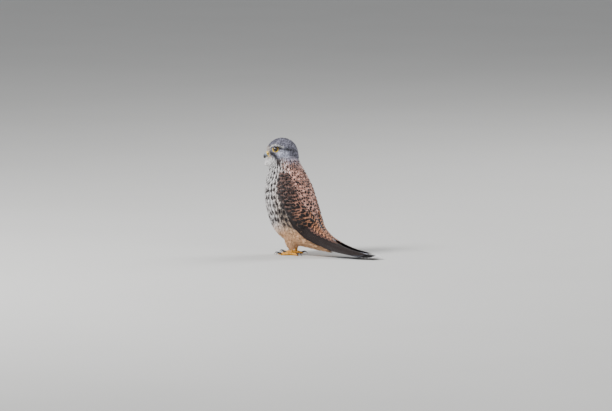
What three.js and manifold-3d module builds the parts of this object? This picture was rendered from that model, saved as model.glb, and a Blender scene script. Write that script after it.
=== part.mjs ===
// A male common kestrel, life size, standing upright on the ground with its head turned to its left.
// Units are millimetres. The bird faces -X, its left side is -Y, and the floor is z = 0.

import * as THREE from 'three';
import { mergeVertices } from 'three/addons/utils/BufferGeometryUtils.js';
import Module from 'manifold-3d';

const wasm = await Module();
wasm.setup();

// Driving dimensions

const GAP = 0.3; // clear space between touching pieces
const VANE_THICKNESS = 0.55;
const LAYER = VANE_THICKNESS + 0.5; // height from one vane to the next where they overlap

// The plumage's outline seen from the side, from the nape down and then along the tail on the floor.
// Each station has a point on the back, one on the breast or underside, and the half width between them.
const STATIONS = [
  { name: 'nape', back: [15, 183], front: [-35, 181], width: 21 },
  { name: 'neck', back: [20.5, 169], front: [-36.5, 167], width: 25 },
  { name: 'neck_base', back: [30.5, 153], front: [-40.5, 151], width: 31 },
  { name: 'shoulders', back: [39.5, 134.5], front: [-44.5, 131.5], width: 37.5 },
  { name: 'breast', back: [46.5, 113], front: [-45.5, 107], width: 40 },
  { name: 'belly', back: [53, 93], front: [-41, 79], width: 40 },
  { name: 'flank', back: [59.5, 74], front: [-26, 45], width: 37.5 },
  { name: 'vent', back: [67, 58], front: [5, 22], width: 31.5 },
  { name: 'rump', back: [76.5, 45], front: [42, 14.5], width: 26 },
  { name: 'tail_base', back: [92, 33], front: [76, 9.8], width: 21.5 },
  { name: 'mid_tail', back: [129, 18.2], front: [126, 5.4], width: 19 },
  { name: 'bars', back: [161, 11.2], front: [159.5, 2.6], width: 18 },
  { name: 'tail_tip', back: [192.5, 7], front: [192, 0.4], width: 17 },
];
const TORSO_ENDS_AT = 0.63; // share of the outline's middle line where the torso has closed to a point
const TORSO_CLOSES_FROM = 0.47;

// Head, in its own frame: f forwards along the bill, l to the left, u up
const HEAD = { x: -16.5, z: 188.6, turn: 22, nod: 10 };
const SKULL = { front: 27, back: 30, up: 26.6, down: 23, side: 21.5 };
const EYE = { f: 6.3, l: 14.2, u: 8.1, radius: 5.1, ring: 5.5, lid: 1.05, lidPlane: 2.7 };
// Soft swells and dents of the plumage on each side of the head
const SWELLS = [
  { name: 'brow', f: 5.3, l: 17.2, u: 15.6, spread: 5, amount: 2.4 },
  { name: 'brow_front', f: 12.3, l: 13.2, u: 13.6, spread: 4.5, amount: 1.8 },
  { name: 'socket', f: 6.3, l: 19.2, u: 8.1, spread: 6, amount: -2.2 },
  { name: 'cheek', f: 2, l: 21, u: -7, spread: 10, amount: 1.4 },
  { name: 'forehead', f: 24, l: 0, u: 11, spread: 8, amount: 1.5 },
  { name: 'face', f: 28, l: 0, u: -2, spread: 8, amount: -4.5 },
  { name: 'nape', f: -24, l: 0, u: -13, spread: 9, amount: 4.5 },
  { name: 'chin', f: 25, l: 0, u: -11, spread: 6.5, amount: 11.5 },
  { name: 'throat', f: 19, l: 0, u: -17, spread: 8, amount: 3.8 },
];
// The upper bill: its half width and depth where it is fullest, a share of its length, and its middle line as
// places forwards and up
const BILL = {
  cereEnd: 26.4,
  depth: 4.7,
  width: 4.7,
  fullest: 0.12,
  blunt: 0.063,
  line: [[14, 2], [20.5, 2.3], [26, 1.2], [29.8, -0.6], [32, -3.2], [32.3, -5.6]],
};
const LOWER_BILL = { radius: 3.9, flatten: 0.8, line: [[14, -2.4], [22, -2.8], [28.6, -3.6]] };
const NOSTRIL = { f: 24.4, l: 4.7, u: 2.4, radius: 1.2 };
// The corner of the mouth: a groove of this radius from the bill's root back over the face
const MOUTH = { groove: 0.75, line: [[21.5, -3.4], [18, -4], [14.5, -5], [12, -5.8]] };

// Parting planes between head, neck and torso: height at the axis and slope towards the back
const NECK_TOP = { z: 167.5, slope: 0.2 };
const NECK_BOTTOM = { z: 149, slope: 0.1 };

// The folded wing: its lower, leading edge and its upper edge as angles round the body from the middle of
// the back, along its length
const WING_EDGES = [
  { t: 0.085, low: 80, high: 62 },
  { t: 0.14, low: 89, high: 48 },
  { t: 0.22, low: 87, high: 40 },
  { t: 0.3, low: 81, high: 32 },
  { t: 0.38, low: 75, high: 24 },
  { t: 0.46, low: 74, high: 16 },
  { t: 0.54, low: 80, high: 10 },
  { t: 0.62, low: 84, high: 9 },
  { t: 0.7, low: 80, high: 12 },
  { t: 0.79, low: 68, high: 18 },
  { t: 0.92, low: 46, high: 30 },
  { t: 0.99, low: 36, high: 24 },
];

// All vanes bend at the same shares of the middle line, so that neighbours never cross.
const BEND_STEP = 1 / 15;
const TIP_ROUND = 14; // length over which a vane narrows to its rounded tip

// Tiers of the folded wing. Vanes lie side by side from the leading edge upwards, the upper ones on top.
// root and tips are shares of the middle line, first and spacing are millimetres up from the leading edge,
// and rise is the vanes' height over the body at the root and where they lie free.
const FLIGHT_FEATHERS = {
  root: 5 * BEND_STEP,
  tips: [0.905, 0.93, 0.895, 0.85, 0.8, 0.75, 0.705, 0.665, 0.625, 0.58],
  first: 2.2,
  spacing: 4,
  half: 5.1,
  rise: [2.1, 2.1],
};
const GREATER_COVERTS = {
  root: 4 * BEND_STEP,
  tips: [0.446, 0.46, 0.47, 0.474, 0.468],
  first: 3.6,
  spacing: 7.9,
  half: 6.2,
  rise: [3.7, 4.9],
};
const MEDIAN_COVERTS = {
  root: 3 * BEND_STEP,
  tips: [0.328, 0.345, 0.352, 0.345],
  first: 4.2,
  spacing: 8.8,
  half: 6.6,
  rise: [4.2, 6.7],
};
// The flight feathers draw together towards the rump, from one share of the middle line to another.
const WING_CLOSES = { from: 0.4, to: 0.58, narrow: 0.79 };
const RISES_WITHIN = 0.12; // share of the middle line in which a vane rises out of the plumage
// Height of the wing's own plumage, under the tiers, along the middle line
const WING_BULK = [
  { t: 0.085, height: 1 }, { t: 0.11, height: 3.4 }, { t: 0.15, height: 5.2 }, { t: 0.2, height: 6.2 },
  { t: 0.25, height: 6.1 }, { t: 0.29, height: 5.4 }, { t: 0.35, height: 4.8 }, { t: 0.43, height: 4 },
];

// The twelve tail feathers, from the middle pair out: how far each tip falls short, and where its middle is
const TAIL = {
  root: 9 * BEND_STEP,
  short: [0, 1.5, 4, 8, 14, 22],
  middles: [2.6, 7.6, 9, 10.4, 11.8, 13.2],
  half: 7.1,
  layer: 0.9,
  bulkEnds: 0.7,
};

// Legs: y is the side's sign times this, x the foot's centre
const FOOT = { y: 16.5, leftX: 15, rightX: 5, ankleZ: 38, toeRadius: 3, toeEnd: 2.1, shank: 2.6, hub: 3.1 };
const KNUCKLES = { swell: 0.1, pace: 19 }; // how much the toes' joints stand out, and how closely they follow
const TOES = [
  { name: 'inner', turn: 30, length: 20, claw: 11 },
  { name: 'middle', turn: 2, length: 27, claw: 10.5 },
  { name: 'outer', turn: -32, length: 21, claw: 9.5 },
  { name: 'hind', turn: 172, length: 14, claw: 11.5 },
];
const CLAW = { root: 2, point: 0.35 };
const THIGH = { topX: 14, topZ: 64, bottomZ: 12, depth: 19, width: 14, hem: 10.5, flat: 0.8, outward: 2 };

// Small tools

const up = new THREE.Vector3(0, 0, 1);
const vec = (x, y, z) => new THREE.Vector3(x, y, z);
const mix = THREE.MathUtils.lerp;
const rad = THREE.MathUtils.degToRad;
const smooth = (t) => THREE.MathUtils.smoothstep(t, 0, 1);

// A solid from a closed three.js geometry, turned so that its faces point out.
function solid(geometry) {
  const bare = geometry.clone();
  for (const name of Object.keys(bare.attributes)) if (name !== 'position') bare.deleteAttribute(name);
  const merged = mergeVertices(bare, 1e-4);
  const vertProperties = new Float32Array(merged.attributes.position.array);
  const triVerts = new Uint32Array(merged.index.array);
  const made = new wasm.Manifold(new wasm.Mesh({ numProp: 3, vertProperties, triVerts }));
  if (made.volume() >= 0) return made;
  triVerts.reverse();
  return new wasm.Manifold(new wasm.Mesh({ numProp: 3, vertProperties, triVerts }));
}

// The largest closed body of a solid, without loose scraps.
function largest(made) {
  return made.decompose().reduce((best, piece) => (piece.volume() > best.volume() ? piece : best));
}

// A three.js geometry of a solid.
function geometryOf(made) {
  const mesh = made.getMesh();
  return new THREE.BufferGeometry()
    .setAttribute('position', new THREE.BufferAttribute(new Float32Array(mesh.vertProperties), 3))
    .setIndex(new THREE.BufferAttribute(new Uint32Array(mesh.triVerts), 1));
}

// One closed skin over rings of equal length, its ends closed to their middles.
// Quads in columns from flipFrom on are split the other way, so that a plate's two faces match.
function skinOver(rings, flipFrom = Infinity) {
  const count = rings[0].length;
  const points = rings.flat();
  const middle = (ring) => ring.reduce((sum, p) => sum.add(p), vec(0, 0, 0)).divideScalar(count);
  points.push(middle(rings[0]), middle(rings.at(-1)));
  const first = points.length - 2;
  const index = [];
  for (let i = 0; i < rings.length - 1; i += 1) {
    for (let j = 0; j < count; j += 1) {
      const [a, b] = [i * count + j, i * count + ((j + 1) % count)];
      const [c, d] = [a + count, b + count];
      if (j >= flipFrom) index.push(a, b, c, b, d, c);
      else index.push(a, b, d, a, d, c);
    }
  }
  const last = (rings.length - 1) * count;
  for (let j = 0; j < count; j += 1) {
    const next = (j + 1) % count;
    index.push(first, next, j, first + 1, last + j, last + next);
  }
  const places = new Float32Array(points.flatMap((p) => p.toArray()));
  return new THREE.BufferGeometry()
    .setAttribute('position', new THREE.BufferAttribute(places, 3))
    .setIndex(index);
}

// Rounds of an ellipse about a centre, in the plane of two unit vectors.
function ellipseRing(centre, across, along, a, b, sides) {
  return Array.from({ length: sides }, (_, j) => {
    const angle = (2 * Math.PI * j) / sides;
    return centre.clone()
      .addScaledVector(across, a * Math.cos(angle))
      .addScaledVector(along, b * Math.sin(angle));
  });
}

// A tube along a curve whose radius is a function of the share of its length.
function tube(curve, radius, steps, sides, flatten = 1) {
  const rings = [];
  for (let i = 0; i <= steps; i += 1) {
    const t = i / steps;
    const tangent = curve.getTangentAt(t);
    const across = vec(0, 0, 0).crossVectors(tangent, up);
    if (across.lengthSq() < 1e-6) across.set(0, 1, 0);
    across.normalize();
    const along = vec(0, 0, 0).crossVectors(across, tangent).normalize();
    rings.push(ellipseRing(curve.getPointAt(t), across, along, radius(t), radius(t) * flatten, sides));
  }
  return solid(skinOver(rings));
}

// The mirror image of a solid across the bird's middle plane.
const mirrored = (made) => made.mirror([0, 1, 0]);

// The body's envelope

const sideLine = (place) => new THREE.CatmullRomCurve3(
  STATIONS.map((s) => vec(...place(s))), false, 'centripetal');
const backLine = sideLine((s) => [s.back[0], 0, s.back[1]]);
const frontLine = sideLine((s) => [s.front[0], 0, s.front[1]]);
const widthLine = sideLine((s) => [s.width, 0, s.back[1]]);
const axis = sideLine((s) => [(s.back[0] + s.front[0]) / 2, 0, (s.back[1] + s.front[1]) / 2]);
axis.arcLengthDivisions = 600;
const wingLine = new THREE.CatmullRomCurve3(
  WING_EDGES.map((e) => vec(e.t, e.low, e.high)), false, 'catmullrom');

// Centre, directions and half sizes at a share t of the middle line: back points out of the bird's back.
function section(t) {
  const spot = axis.getUtoTmapping(Math.min(Math.max(t, 0), 1));
  const back = backLine.getPoint(spot);
  const front = frontLine.getPoint(spot);
  const across = back.clone().sub(front);
  return {
    centre: back.clone().add(front).multiplyScalar(0.5),
    back: across.clone().normalize(),
    depth: across.length() / 2,
    width: widthLine.getPoint(spot).x,
  };
}

// A point on the envelope: angle 0 is the middle of the back, 90 the bird's left side, 180 the breast.
function envelope(t, degrees, height = 0) {
  const at = section(t);
  const angle = rad(degrees);
  return at.centre.clone()
    .addScaledVector(at.back, (at.depth + height) * Math.cos(angle))
    .addScaledVector(vec(0, -1, 0), (at.width + height) * Math.sin(angle));
}

// The torso and neck as one loft, grown by a margin, that closes at the vent.
function bodyLoft(margin, rings = 24, sides = 22) {
  const made = [];
  for (let i = 0; i <= rings; i += 1) {
    const t = (TORSO_ENDS_AT * i) / rings;
    const shut = Math.max((t - TORSO_CLOSES_FROM) / (TORSO_ENDS_AT - TORSO_CLOSES_FROM), 0);
    const share = Math.max(Math.sqrt(1 - shut * shut), 0.05);
    const at = section(t);
    made.push(ellipseRing(at.centre, at.back, vec(0, -1, 0),
      at.depth * share + margin, at.width * share + margin, sides));
  }
  return solid(skinOver(made));
}

// The head

const headPlace = new THREE.Matrix4()
  .makeTranslation(HEAD.x, 0, HEAD.z)
  .multiply(new THREE.Matrix4().makeRotationZ(rad(HEAD.turn)))
  .multiply(new THREE.Matrix4().makeRotationY(rad(-HEAD.nod)));

// A place in the head's frame as a point of the bird.
const inHead = (f, l, u) => vec(-f, -l, u).applyMatrix4(headPlace);

// The skull's plumage: an egg with a brow over each eye, a dished socket, full cheeks and a narrow face.
function headPoint(polar, round, margin) {
  const [c, s] = [Math.cos(polar), Math.sin(polar)];
  const length = c > 0 ? SKULL.front : SKULL.back;
  const side = SKULL.side * (1 - 0.3 * smooth(c));
  const height = Math.cos(round) > 0 ? SKULL.up : SKULL.down;
  const base = vec(length * c, side * s * Math.sin(round), height * s * Math.cos(round));
  const out = vec(base.x / length ** 2, base.y / side ** 2, base.z / height ** 2).normalize();
  const left = vec(base.x, Math.abs(base.y), base.z);
  const rise = SWELLS.reduce((sum, s) => {
    const away = left.distanceToSquared(vec(s.f, s.l, s.u));
    return sum + s.amount * Math.exp(-away / s.spread ** 2);
  }, 0);
  return base.addScaledVector(out, rise + margin);
}

function headSolid(margin, rings = 19, sides = 28) {
  const made = [];
  for (let i = 1; i < rings; i += 1) {
    made.push(Array.from({ length: sides }, (_, j) => {
      const p = headPoint((Math.PI * i) / rings, (2 * Math.PI * j) / sides, margin);
      return inHead(p.x, p.y, p.z);
    }));
  }
  return solid(skinOver(made));
}

// A sphere placed in the head's frame.
function ball(f, l, u, radius, detail = 12) {
  const place = inHead(f, l, u);
  const globe = new THREE.SphereGeometry(radius, detail, Math.round(detail * 0.75));
  return solid(globe).translate(place.toArray());
}

// The lids' ring round an eye, its axis a little forwards of square to the head.
function eyeRing(side, grow) {
  const eye = inHead(EYE.f, side * EYE.l, EYE.u);
  const outward = inHead(EYE.f + 0.28, side * (EYE.l + 0.95), EYE.u + 0.05).sub(eye).normalize();
  const place = eye.clone().addScaledVector(outward, EYE.lidPlane);
  const turn = new THREE.Quaternion().setFromUnitVectors(up, outward);
  const ring = new THREE.TorusGeometry(EYE.ring, EYE.lid + grow, 6, 16);
  return solid(ring.applyQuaternion(turn).translate(place.x, place.y, place.z));
}

// A curve through places forwards and up in the head's middle plane.
const profileLine = (places) => new THREE.CatmullRomCurve3(places.map(([f, u]) => inHead(f, 0, u)));

// The upper bill and cere: an oval section carried along the hooked culmen.
function billLoft(grow, sides = 12) {
  const line = profileLine(BILL.line);
  const fullness = (t) => {
    const past = (t - BILL.fullest) / (1.05 - BILL.fullest);
    return Math.max(Math.sqrt(Math.max(1 - past * past, 0)), BILL.blunt);
  };
  const rings = [];
  const steps = 10;
  for (let i = 0; i <= steps; i += 1) {
    const t = 1 - (1 - i / steps) ** 1.25;
    const tangent = line.getTangentAt(t);
    const across = inHead(0, 1, 0).sub(inHead(0, 0, 0));
    const along = vec(0, 0, 0).crossVectors(across, tangent).normalize();
    rings.push(ellipseRing(line.getPointAt(t), across, along,
      BILL.width * fullness(t) + grow, BILL.depth * fullness(t) + grow, sides));
  }
  return solid(skinOver(rings));
}

// The lower bill: a short trough under the upper one.
function lowerBill() {
  const radius = (t) => LOWER_BILL.radius * Math.sqrt(Math.max(1 - (t * 0.97) ** 3, 0.03));
  return tube(profileLine(LOWER_BILL.line), radius, 6, 10, LOWER_BILL.flatten);
}

// The groove that carries the line of the mouth back over the face, on one side of the head.
function mouthGroove(side) {
  const places = MOUTH.line.map(([f, u]) => {
    const polar = Math.acos(f / SKULL.front);
    const p = headPoint(polar, Math.acos(u / (SKULL.down * Math.sin(polar))), 0);
    return inHead(p.x, side * p.y, p.z);
  });
  return tube(new THREE.CatmullRomCurve3(places), () => MOUTH.groove, 4, 5);
}

// A large block on the far side of a plane square to the bill, for parting it.
function billBlock(f) {
  const block = new THREE.BoxGeometry(60, 60, 60).translate(-30, 0, 0);
  return solid(block.applyMatrix4(headPlace.clone().multiply(new THREE.Matrix4().makeTranslation(-f, 0, 0))));
}

// Wings and tail

// A plate from a list of cross-sections, each with a centre, a side and an out direction.
function plate(sections, thickness) {
  const rings = sections.map(({ centre, side, out, half, cup }) => {
    const at = (u, h) => centre.clone()
      .addScaledVector(side, half * u)
      .addScaledVector(out, h - cup * u * u);
    const t = thickness / 2;
    return [at(-1, t), at(0, t), at(1, t), at(1, -t), at(0, -t), at(-1, -t)];
  });
  return solid(skinOver(rings, 3));
}

// Where the folded wing's two edges lie on the body at a share t of the middle line.
function wingEdge(t) {
  const found = WING_EDGES.findIndex((e) => e.t >= t);
  const next = found < 0 ? WING_EDGES.length - 1 : Math.max(found, 1);
  const [a, b] = [WING_EDGES[next - 1], WING_EDGES[next]];
  const spot = wingLine.getPoint((next - 1 + (t - a.t) / (b.t - a.t)) / (WING_EDGES.length - 1));
  return { low: spot.y, high: spot.z };
}

// A point of the surface that the wing lies on: the envelope, but rounder from side to side over the tail.
function underWing(t, degrees, height) {
  const at = section(t);
  const depth = Math.max(at.depth, 0.7 * at.width);
  const angle = rad(degrees);
  return at.centre.clone()
    .addScaledVector(at.back, at.depth - depth + (depth + height) * Math.cos(angle))
    .addScaledVector(vec(0, -1, 0), (at.width + height) * Math.sin(angle));
}

// The angle that lies some millimetres up from the wing's lower edge.
function angleUp(t, reach) {
  const { low } = wingEdge(t);
  const perDegree = (degrees) => underWing(t, degrees + 0.5, 0).distanceTo(underWing(t, degrees - 0.5, 0));
  const guess = low - reach / perDegree(low - 8);
  return low - reach / perDegree((low + guess) / 2);
}

// A feather's cross-section: its middle, out of the plumage, and its side towards the lower edge,
// tilted so that the feather above lies over it.
function featherSection(t, reach, height, tilt) {
  const degrees = angleUp(t, reach);
  const centre = underWing(t, degrees, height);
  const along = underWing(t + 0.004, angleUp(t + 0.004, reach), height).sub(centre).normalize();
  const lower = underWing(t, degrees + 1, height).sub(centre);
  const flat = vec(0, 0, 0).crossVectors(along, lower).normalize();
  const out = flat.dot(section(t).centre.clone().sub(centre)) > 0 ? flat.negate() : flat;
  const across = lower.addScaledVector(along, -lower.dot(along)).normalize();
  const side = across.clone().addScaledVector(out, tilt).normalize();
  const face = out.clone().addScaledVector(across, -tilt).normalize();
  return { centre, side, out: face, bend: 1 / (2 * roundness(t, degrees)) };
}

// The radius of the curve across the wing's bed, from the rise of an arc over its chord.
function roundness(t, degrees) {
  const reach = 9;
  const [a, b] = [underWing(t, degrees - reach, 0), underWing(t, degrees + reach, 0)];
  const rise = underWing(t, degrees, 0).distanceTo(a.clone().add(b).multiplyScalar(0.5));
  return a.distanceToSquared(b) / (8 * rise);
}

// A vane that bends only at whole steps: place gives its cross-section at a share of the middle line.
function vane(root, tip, halfWidth, place) {
  const shares = [];
  for (let n = Math.ceil(root / BEND_STEP - 1e-6); n * BEND_STEP < tip - 0.03; n += 1) {
    shares.push(n * BEND_STEP);
  }
  shares.push(tip - 0.019, tip);
  return plate(shares.map((t) => {
    const step = Math.floor(t / BEND_STEP + 1e-6);
    const [a, b] = [place(step * BEND_STEP), place((step + 1) * BEND_STEP)];
    const k = t / BEND_STEP - step;
    const fromTip = Math.min(((tip - t) * axis.getLength()) / TIP_ROUND, 1);
    const rounded = Math.sqrt(Math.max(1 - (1 - fromTip) ** 2, 0.14));
    const width = mix(a.narrow, b.narrow, k) * rounded * Math.min(1, 0.6 + 6 * (t - root));
    return {
      centre: a.centre.clone().lerp(b.centre, k),
      side: a.side.clone().lerp(b.side, k).normalize(),
      out: a.out.clone().lerp(b.out, k).normalize(),
      half: halfWidth * width,
      cup: mix(a.bend, b.bend, k) * (halfWidth * width) ** 2,
    };
  }), VANE_THICKNESS);
}

// One tier of a wing as a list of vanes.
function wingTier(tier) {
  return tier.tips.map((tip, i) => vane(tier.root, tip, tier.half, (t) => {
    const height = mix(tier.rise[0], tier.rise[1], smooth((t - tier.root) / RISES_WITHIN));
    const closed = smooth((t - WING_CLOSES.from) / (WING_CLOSES.to - WING_CLOSES.from));
    const narrow = mix(1, WING_CLOSES.narrow, closed);
    const reach = (tier.first + tier.spacing * i) * narrow;
    return { ...featherSection(t, reach, height, LAYER / (tier.spacing * narrow)), narrow };
  }));
}

// The wing's own plumage, from the wrist to where the flight feathers come free.
function wingBulk() {
  const heights = new THREE.CatmullRomCurve3(
    WING_BULK.map((b) => vec(b.t, b.height, 0)), false, 'catmullrom');
  const steps = 11;
  const rings = [];
  for (let i = 0; i <= steps; i += 1) {
    const k = i / steps;
    const { x: t, y: top } = heights.getPoint(k);
    const edge = wingEdge(t);
    const end = Math.sqrt(Math.min(1, 0.1 + k * 8));
    const [mid, reach] = [(edge.low + edge.high) / 2, ((edge.low - edge.high) / 2) * end];
    const across = [-1, -0.88, -0.45, 0, 0.45, 0.88, 1];
    const outer = across.map((u) => underWing(t, mid + u * reach, 0.4 + top * end * (1 - 0.72 * u ** 4)));
    const inner = across.toReversed().map((u) => underWing(t, mid + u * reach, 0.35));
    rings.push([...outer, ...inner]);
  }
  return solid(skinOver(rings, 7));
}

// The folded left wing: its plumage and three tiers of feathers, in one body.
function wing() {
  const vanes = [FLIGHT_FEATHERS, GREATER_COVERTS, MEDIAN_COVERTS].flatMap(wingTier);
  return vanes.reduce((made, vane) => made.add(vane), wingBulk());
}

// The closed tail: twelve feathers, the middle pair on top, rooted in the tail's coverts.
function tailFan() {
  const rings = [];
  const steps = 5;
  for (let i = 0; i <= steps; i += 1) {
    const t = mix(TAIL.root - 0.03, TAIL.bulkEnds, i / steps);
    const at = section(t);
    const share = i < steps ? 1 : 0.75;
    rings.push(ellipseRing(at.centre, at.back, vec(0, -1, 0),
      mix(6.5, 4.6, i / steps) * share, mix(17, 17.5, i / steps) * share, 14));
  }
  let made = solid(skinOver(rings));
  for (const side of [1, -1]) {
    TAIL.middles.forEach((middle, i) => {
      const layer = 3 - i - (side > 0 && i === 0 ? 0 : 1);
      const tip = 1 - TAIL.short[i] / axis.getLength();
      made = made.add(vane(TAIL.root, tip, TAIL.half, (t) => {
        const at = section(t);
        const centre = at.centre.clone()
          .addScaledVector(at.back, layer * TAIL.layer)
          .addScaledVector(vec(0, -side, 0), middle);
        return { centre, side: vec(0, 1, 0), out: at.back, bend: 0, narrow: 1 };
      }));
    });
  }
  return made;
}

// Legs and feet

function thigh(side, grow = 0) {
  const footX = side > 0 ? FOOT.leftX : FOOT.rightX;
  const rings = [];
  const steps = 8;
  for (let i = 0; i <= steps; i += 1) {
    const k = i / steps;
    const y = -side * mix(FOOT.y + THIGH.outward, FOOT.y, k);
    const centre = vec(mix(THIGH.topX, footX - 1, k), y, mix(THIGH.topZ, THIGH.bottomZ, k));
    const full = Math.sqrt(1 - THIGH.flat * k ** 7);
    const depth = mix(THIGH.depth, THIGH.hem, k) * full + grow;
    const width = mix(THIGH.width, THIGH.hem * THIGH.flat, k) * full + grow;
    rings.push(ellipseRing(centre, vec(1, 0, 0), vec(0, 1, 0), depth, width, 14));
  }
  return solid(skinOver(rings));
}

// The bare lower leg and the toes, fused and flat where they stand.
function foot(side) {
  const x = side > 0 ? FOOT.leftX : FOOT.rightX;
  const y = -side * FOOT.y;
  const hub = vec(x, y, FOOT.toeRadius + 1);
  const shank = new THREE.CatmullRomCurve3([vec(x + 5, y, FOOT.ankleZ), vec(x + 2, y, 18), hub]);
  const knuckled = (t) => {
    const plain = mix(FOOT.toeRadius, FOOT.toeEnd, t);
    return plain * (1 + KNUCKLES.swell * Math.cos(t * KNUCKLES.pace));
  };
  let made = tube(shank, (t) => mix(FOOT.shank, FOOT.hub, t), 4, 8);
  for (const toe of TOES) made = made.add(tube(toeLine(toe, side), knuckled, 5, 8));
  return made.trimByPlane([0, 0, 1], 0);
}

// A toe's middle line: up over the first joint and down to the ground.
function toeLine(toe, side) {
  const x = side > 0 ? FOOT.leftX : FOOT.rightX;
  const heading = rad(toe.turn * side);
  const at = (share, z) => {
    const out = toe.length * share;
    return vec(x - Math.cos(heading) * out, -side * FOOT.y - Math.sin(heading) * out, z);
  };
  return new THREE.CatmullRomCurve3([at(0, FOOT.toeRadius), at(0.35, 2.7), at(0.7, 1.9), at(1, 1.9)]);
}

// A claw: a tapered hook from the toe's end, its point just clear of the ground.
function claw(toe, side) {
  const x = side > 0 ? FOOT.leftX : FOOT.rightX;
  const heading = rad(toe.turn * side);
  const at = (reach, z) => {
    const out = toe.length + reach;
    return vec(x - Math.cos(heading) * out, -side * FOOT.y - Math.sin(heading) * out, z);
  };
  const line = new THREE.CatmullRomCurve3([
    at(-1.5, 2.6), at(toe.claw * 0.3, 4.6), at(toe.claw * 0.66, 3.6), at(toe.claw * 0.86, 0.5)]);
  return tube(line, (t) => mix(CLAW.root, CLAW.point, t ** 0.8), 5, 6);
}

// Build the nodes

const body = bodyLoft(0);
const bodyRoom = bodyLoft(GAP);
const head = headSolid(0);
const headRoom = headSolid(GAP);
const whole = body.add(head);

// Parting planes as normals and offsets
function parting({ z, slope }, shift) {
  const normal = vec(-slope, 0, 1).normalize();
  return [normal.toArray(), normal.dot(vec(HEAD.x, 0, z)) + shift];
}

const [above, overNeck] = parting(NECK_TOP, GAP / 2);
const [, underHead] = parting(NECK_TOP, -GAP / 2);
const [level, overTorso] = parting(NECK_BOTTOM, GAP / 2);
const [, underNeck] = parting(NECK_BOTTOM, -GAP / 2);
const flip = (normal) => normal.map((n) => -n);

const bill = billLoft(0);
const billRoom = billLoft(GAP);
const pastCere = billBlock(BILL.cereEnd - GAP / 2);
const hornOnly = billBlock(BILL.cereEnd + GAP / 2);
const lower = lowerBill().subtract(billRoom).subtract(headRoom);
const lowerRoom = lowerBill();

let headNode = whole.trimByPlane(above, overNeck).subtract(billRoom).subtract(lowerRoom);
for (const side of [1, -1]) {
  headNode = headNode
    .subtract(ball(EYE.f, side * EYE.l, EYE.u, EYE.radius + GAP))
    .subtract(eyeRing(side, GAP))
    .subtract(mouthGroove(side));
}
const cereWhole = bill.subtract(headRoom).subtract(pastCere);
const nostrils = [1, -1].map((side) => ball(NOSTRIL.f, side * NOSTRIL.l, NOSTRIL.u, NOSTRIL.radius, 6));

const solids = {
  head: largest(headNode),
  neck: largest(whole.trimByPlane(level, overTorso).trimByPlane(flip(above), -underHead)),
  cere: largest(nostrils.reduce((made, dent) => made.subtract(dent), cereWhole)),
  bill_upper: largest(bill.subtract(headRoom).intersect(hornOnly)),
  bill_lower: largest(lower),
};

const leftWing = largest(wing().subtract(bodyRoom));
const thighs = { left: thigh(1), right: thigh(-1) };
let torso = whole.trimByPlane(flip(level), -underNeck);
torso = torso.subtract(thigh(1, GAP)).subtract(thigh(-1, GAP));
solids.torso = largest(torso);

for (const [name, side] of [['left', 1], ['right', -1]]) {
  const ringNode = eyeRing(side, 0).subtract(ball(EYE.f, side * EYE.l, EYE.u, EYE.radius + GAP));
  solids['eye_' + name] = ball(EYE.f, side * EYE.l, EYE.u, EYE.radius);
  solids['eyelids_' + name] = largest(ringNode);
  solids['wing_' + name] = side > 0 ? leftWing : mirrored(leftWing);
  const footSolid = foot(side);
  const claws = TOES.map((toe) => claw(toe, side));
  solids['foot_' + name] = largest(claws.reduce((made, c) => made.subtract(c), footSolid));
  solids['thigh_' + name] = largest(thighs[name].subtract(footSolid));
  TOES.forEach((toe, i) => {
    solids[`claw_${name}_${toe.name}`] = claws[i];
  });
}
solids.tail = largest(tailFan().subtract(bodyRoom).trimByPlane([0, 0, 1], 0));

const COLOURS = {
  head: 0x7d7f8a, neck: 0xb9a49a, torso: 0xc9b7a4, cere: 0xe2b021, bill_upper: 0x3c4656,
  bill_lower: 0x5a6068, eye: 0x120c0a, eyelids: 0xe5b32a, wing: 0x9b5f45, tail: 0x8a8f9a,
  foot: 0xe59a2b, thigh: 0xd3a880, claw: 0x17151a,
};

const bird = new THREE.Group();
const placed = new THREE.Group();
bird.add(placed);
for (const [name, made] of Object.entries(solids)) {
  const kind = Object.keys(COLOURS).find((key) => name === key || name.startsWith(key + '_'));
  const material = new THREE.MeshStandardMaterial({ color: COLOURS[kind], roughness: 0.7, metalness: 0 });
  const mesh = new THREE.Mesh(geometryOf(made), material);
  mesh.name = name;
  placed.add(mesh);
}

// The origin is on the floor, under the middle of the whole bird.
const box = new THREE.Box3().setFromObject(placed);
placed.position.set(-(box.min.x + box.max.x) / 2, -(box.min.y + box.max.y) / 2, -box.min.z);

export default bird;
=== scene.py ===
"""A grown male common kestrel, life size, built as a still museum model.

The bird's own measures are millimetres in the bird's frame: it faces -X, its left side is -Y, and the
floor is z = 0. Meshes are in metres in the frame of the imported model, which is the same frame moved
along x. Angles round the body run from the middle of the back, 90 degrees being the left side.
"""
import math

import bpy
import numpy as np
from bpy.props import FloatProperty, FloatVectorProperty, IntProperty, PointerProperty
from mathutils import Matrix, Vector


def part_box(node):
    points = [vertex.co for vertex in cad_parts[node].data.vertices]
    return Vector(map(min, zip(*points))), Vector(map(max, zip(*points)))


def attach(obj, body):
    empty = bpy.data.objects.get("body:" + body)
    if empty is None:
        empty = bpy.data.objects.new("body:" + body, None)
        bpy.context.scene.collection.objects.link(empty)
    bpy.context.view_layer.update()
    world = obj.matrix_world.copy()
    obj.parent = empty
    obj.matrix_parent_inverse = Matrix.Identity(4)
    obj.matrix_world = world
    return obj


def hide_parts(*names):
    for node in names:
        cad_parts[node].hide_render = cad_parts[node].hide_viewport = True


bl_info = {
    "name": "Common kestrel",
    "version": (1, 0, 0),
    "blender": (4, 5, 0),
    "location": "3D View > Sidebar > Kestrel",
    "description": "Builds a life-size male common kestrel with its plumage as mesh feathers",
    "category": "Object",
}

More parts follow.
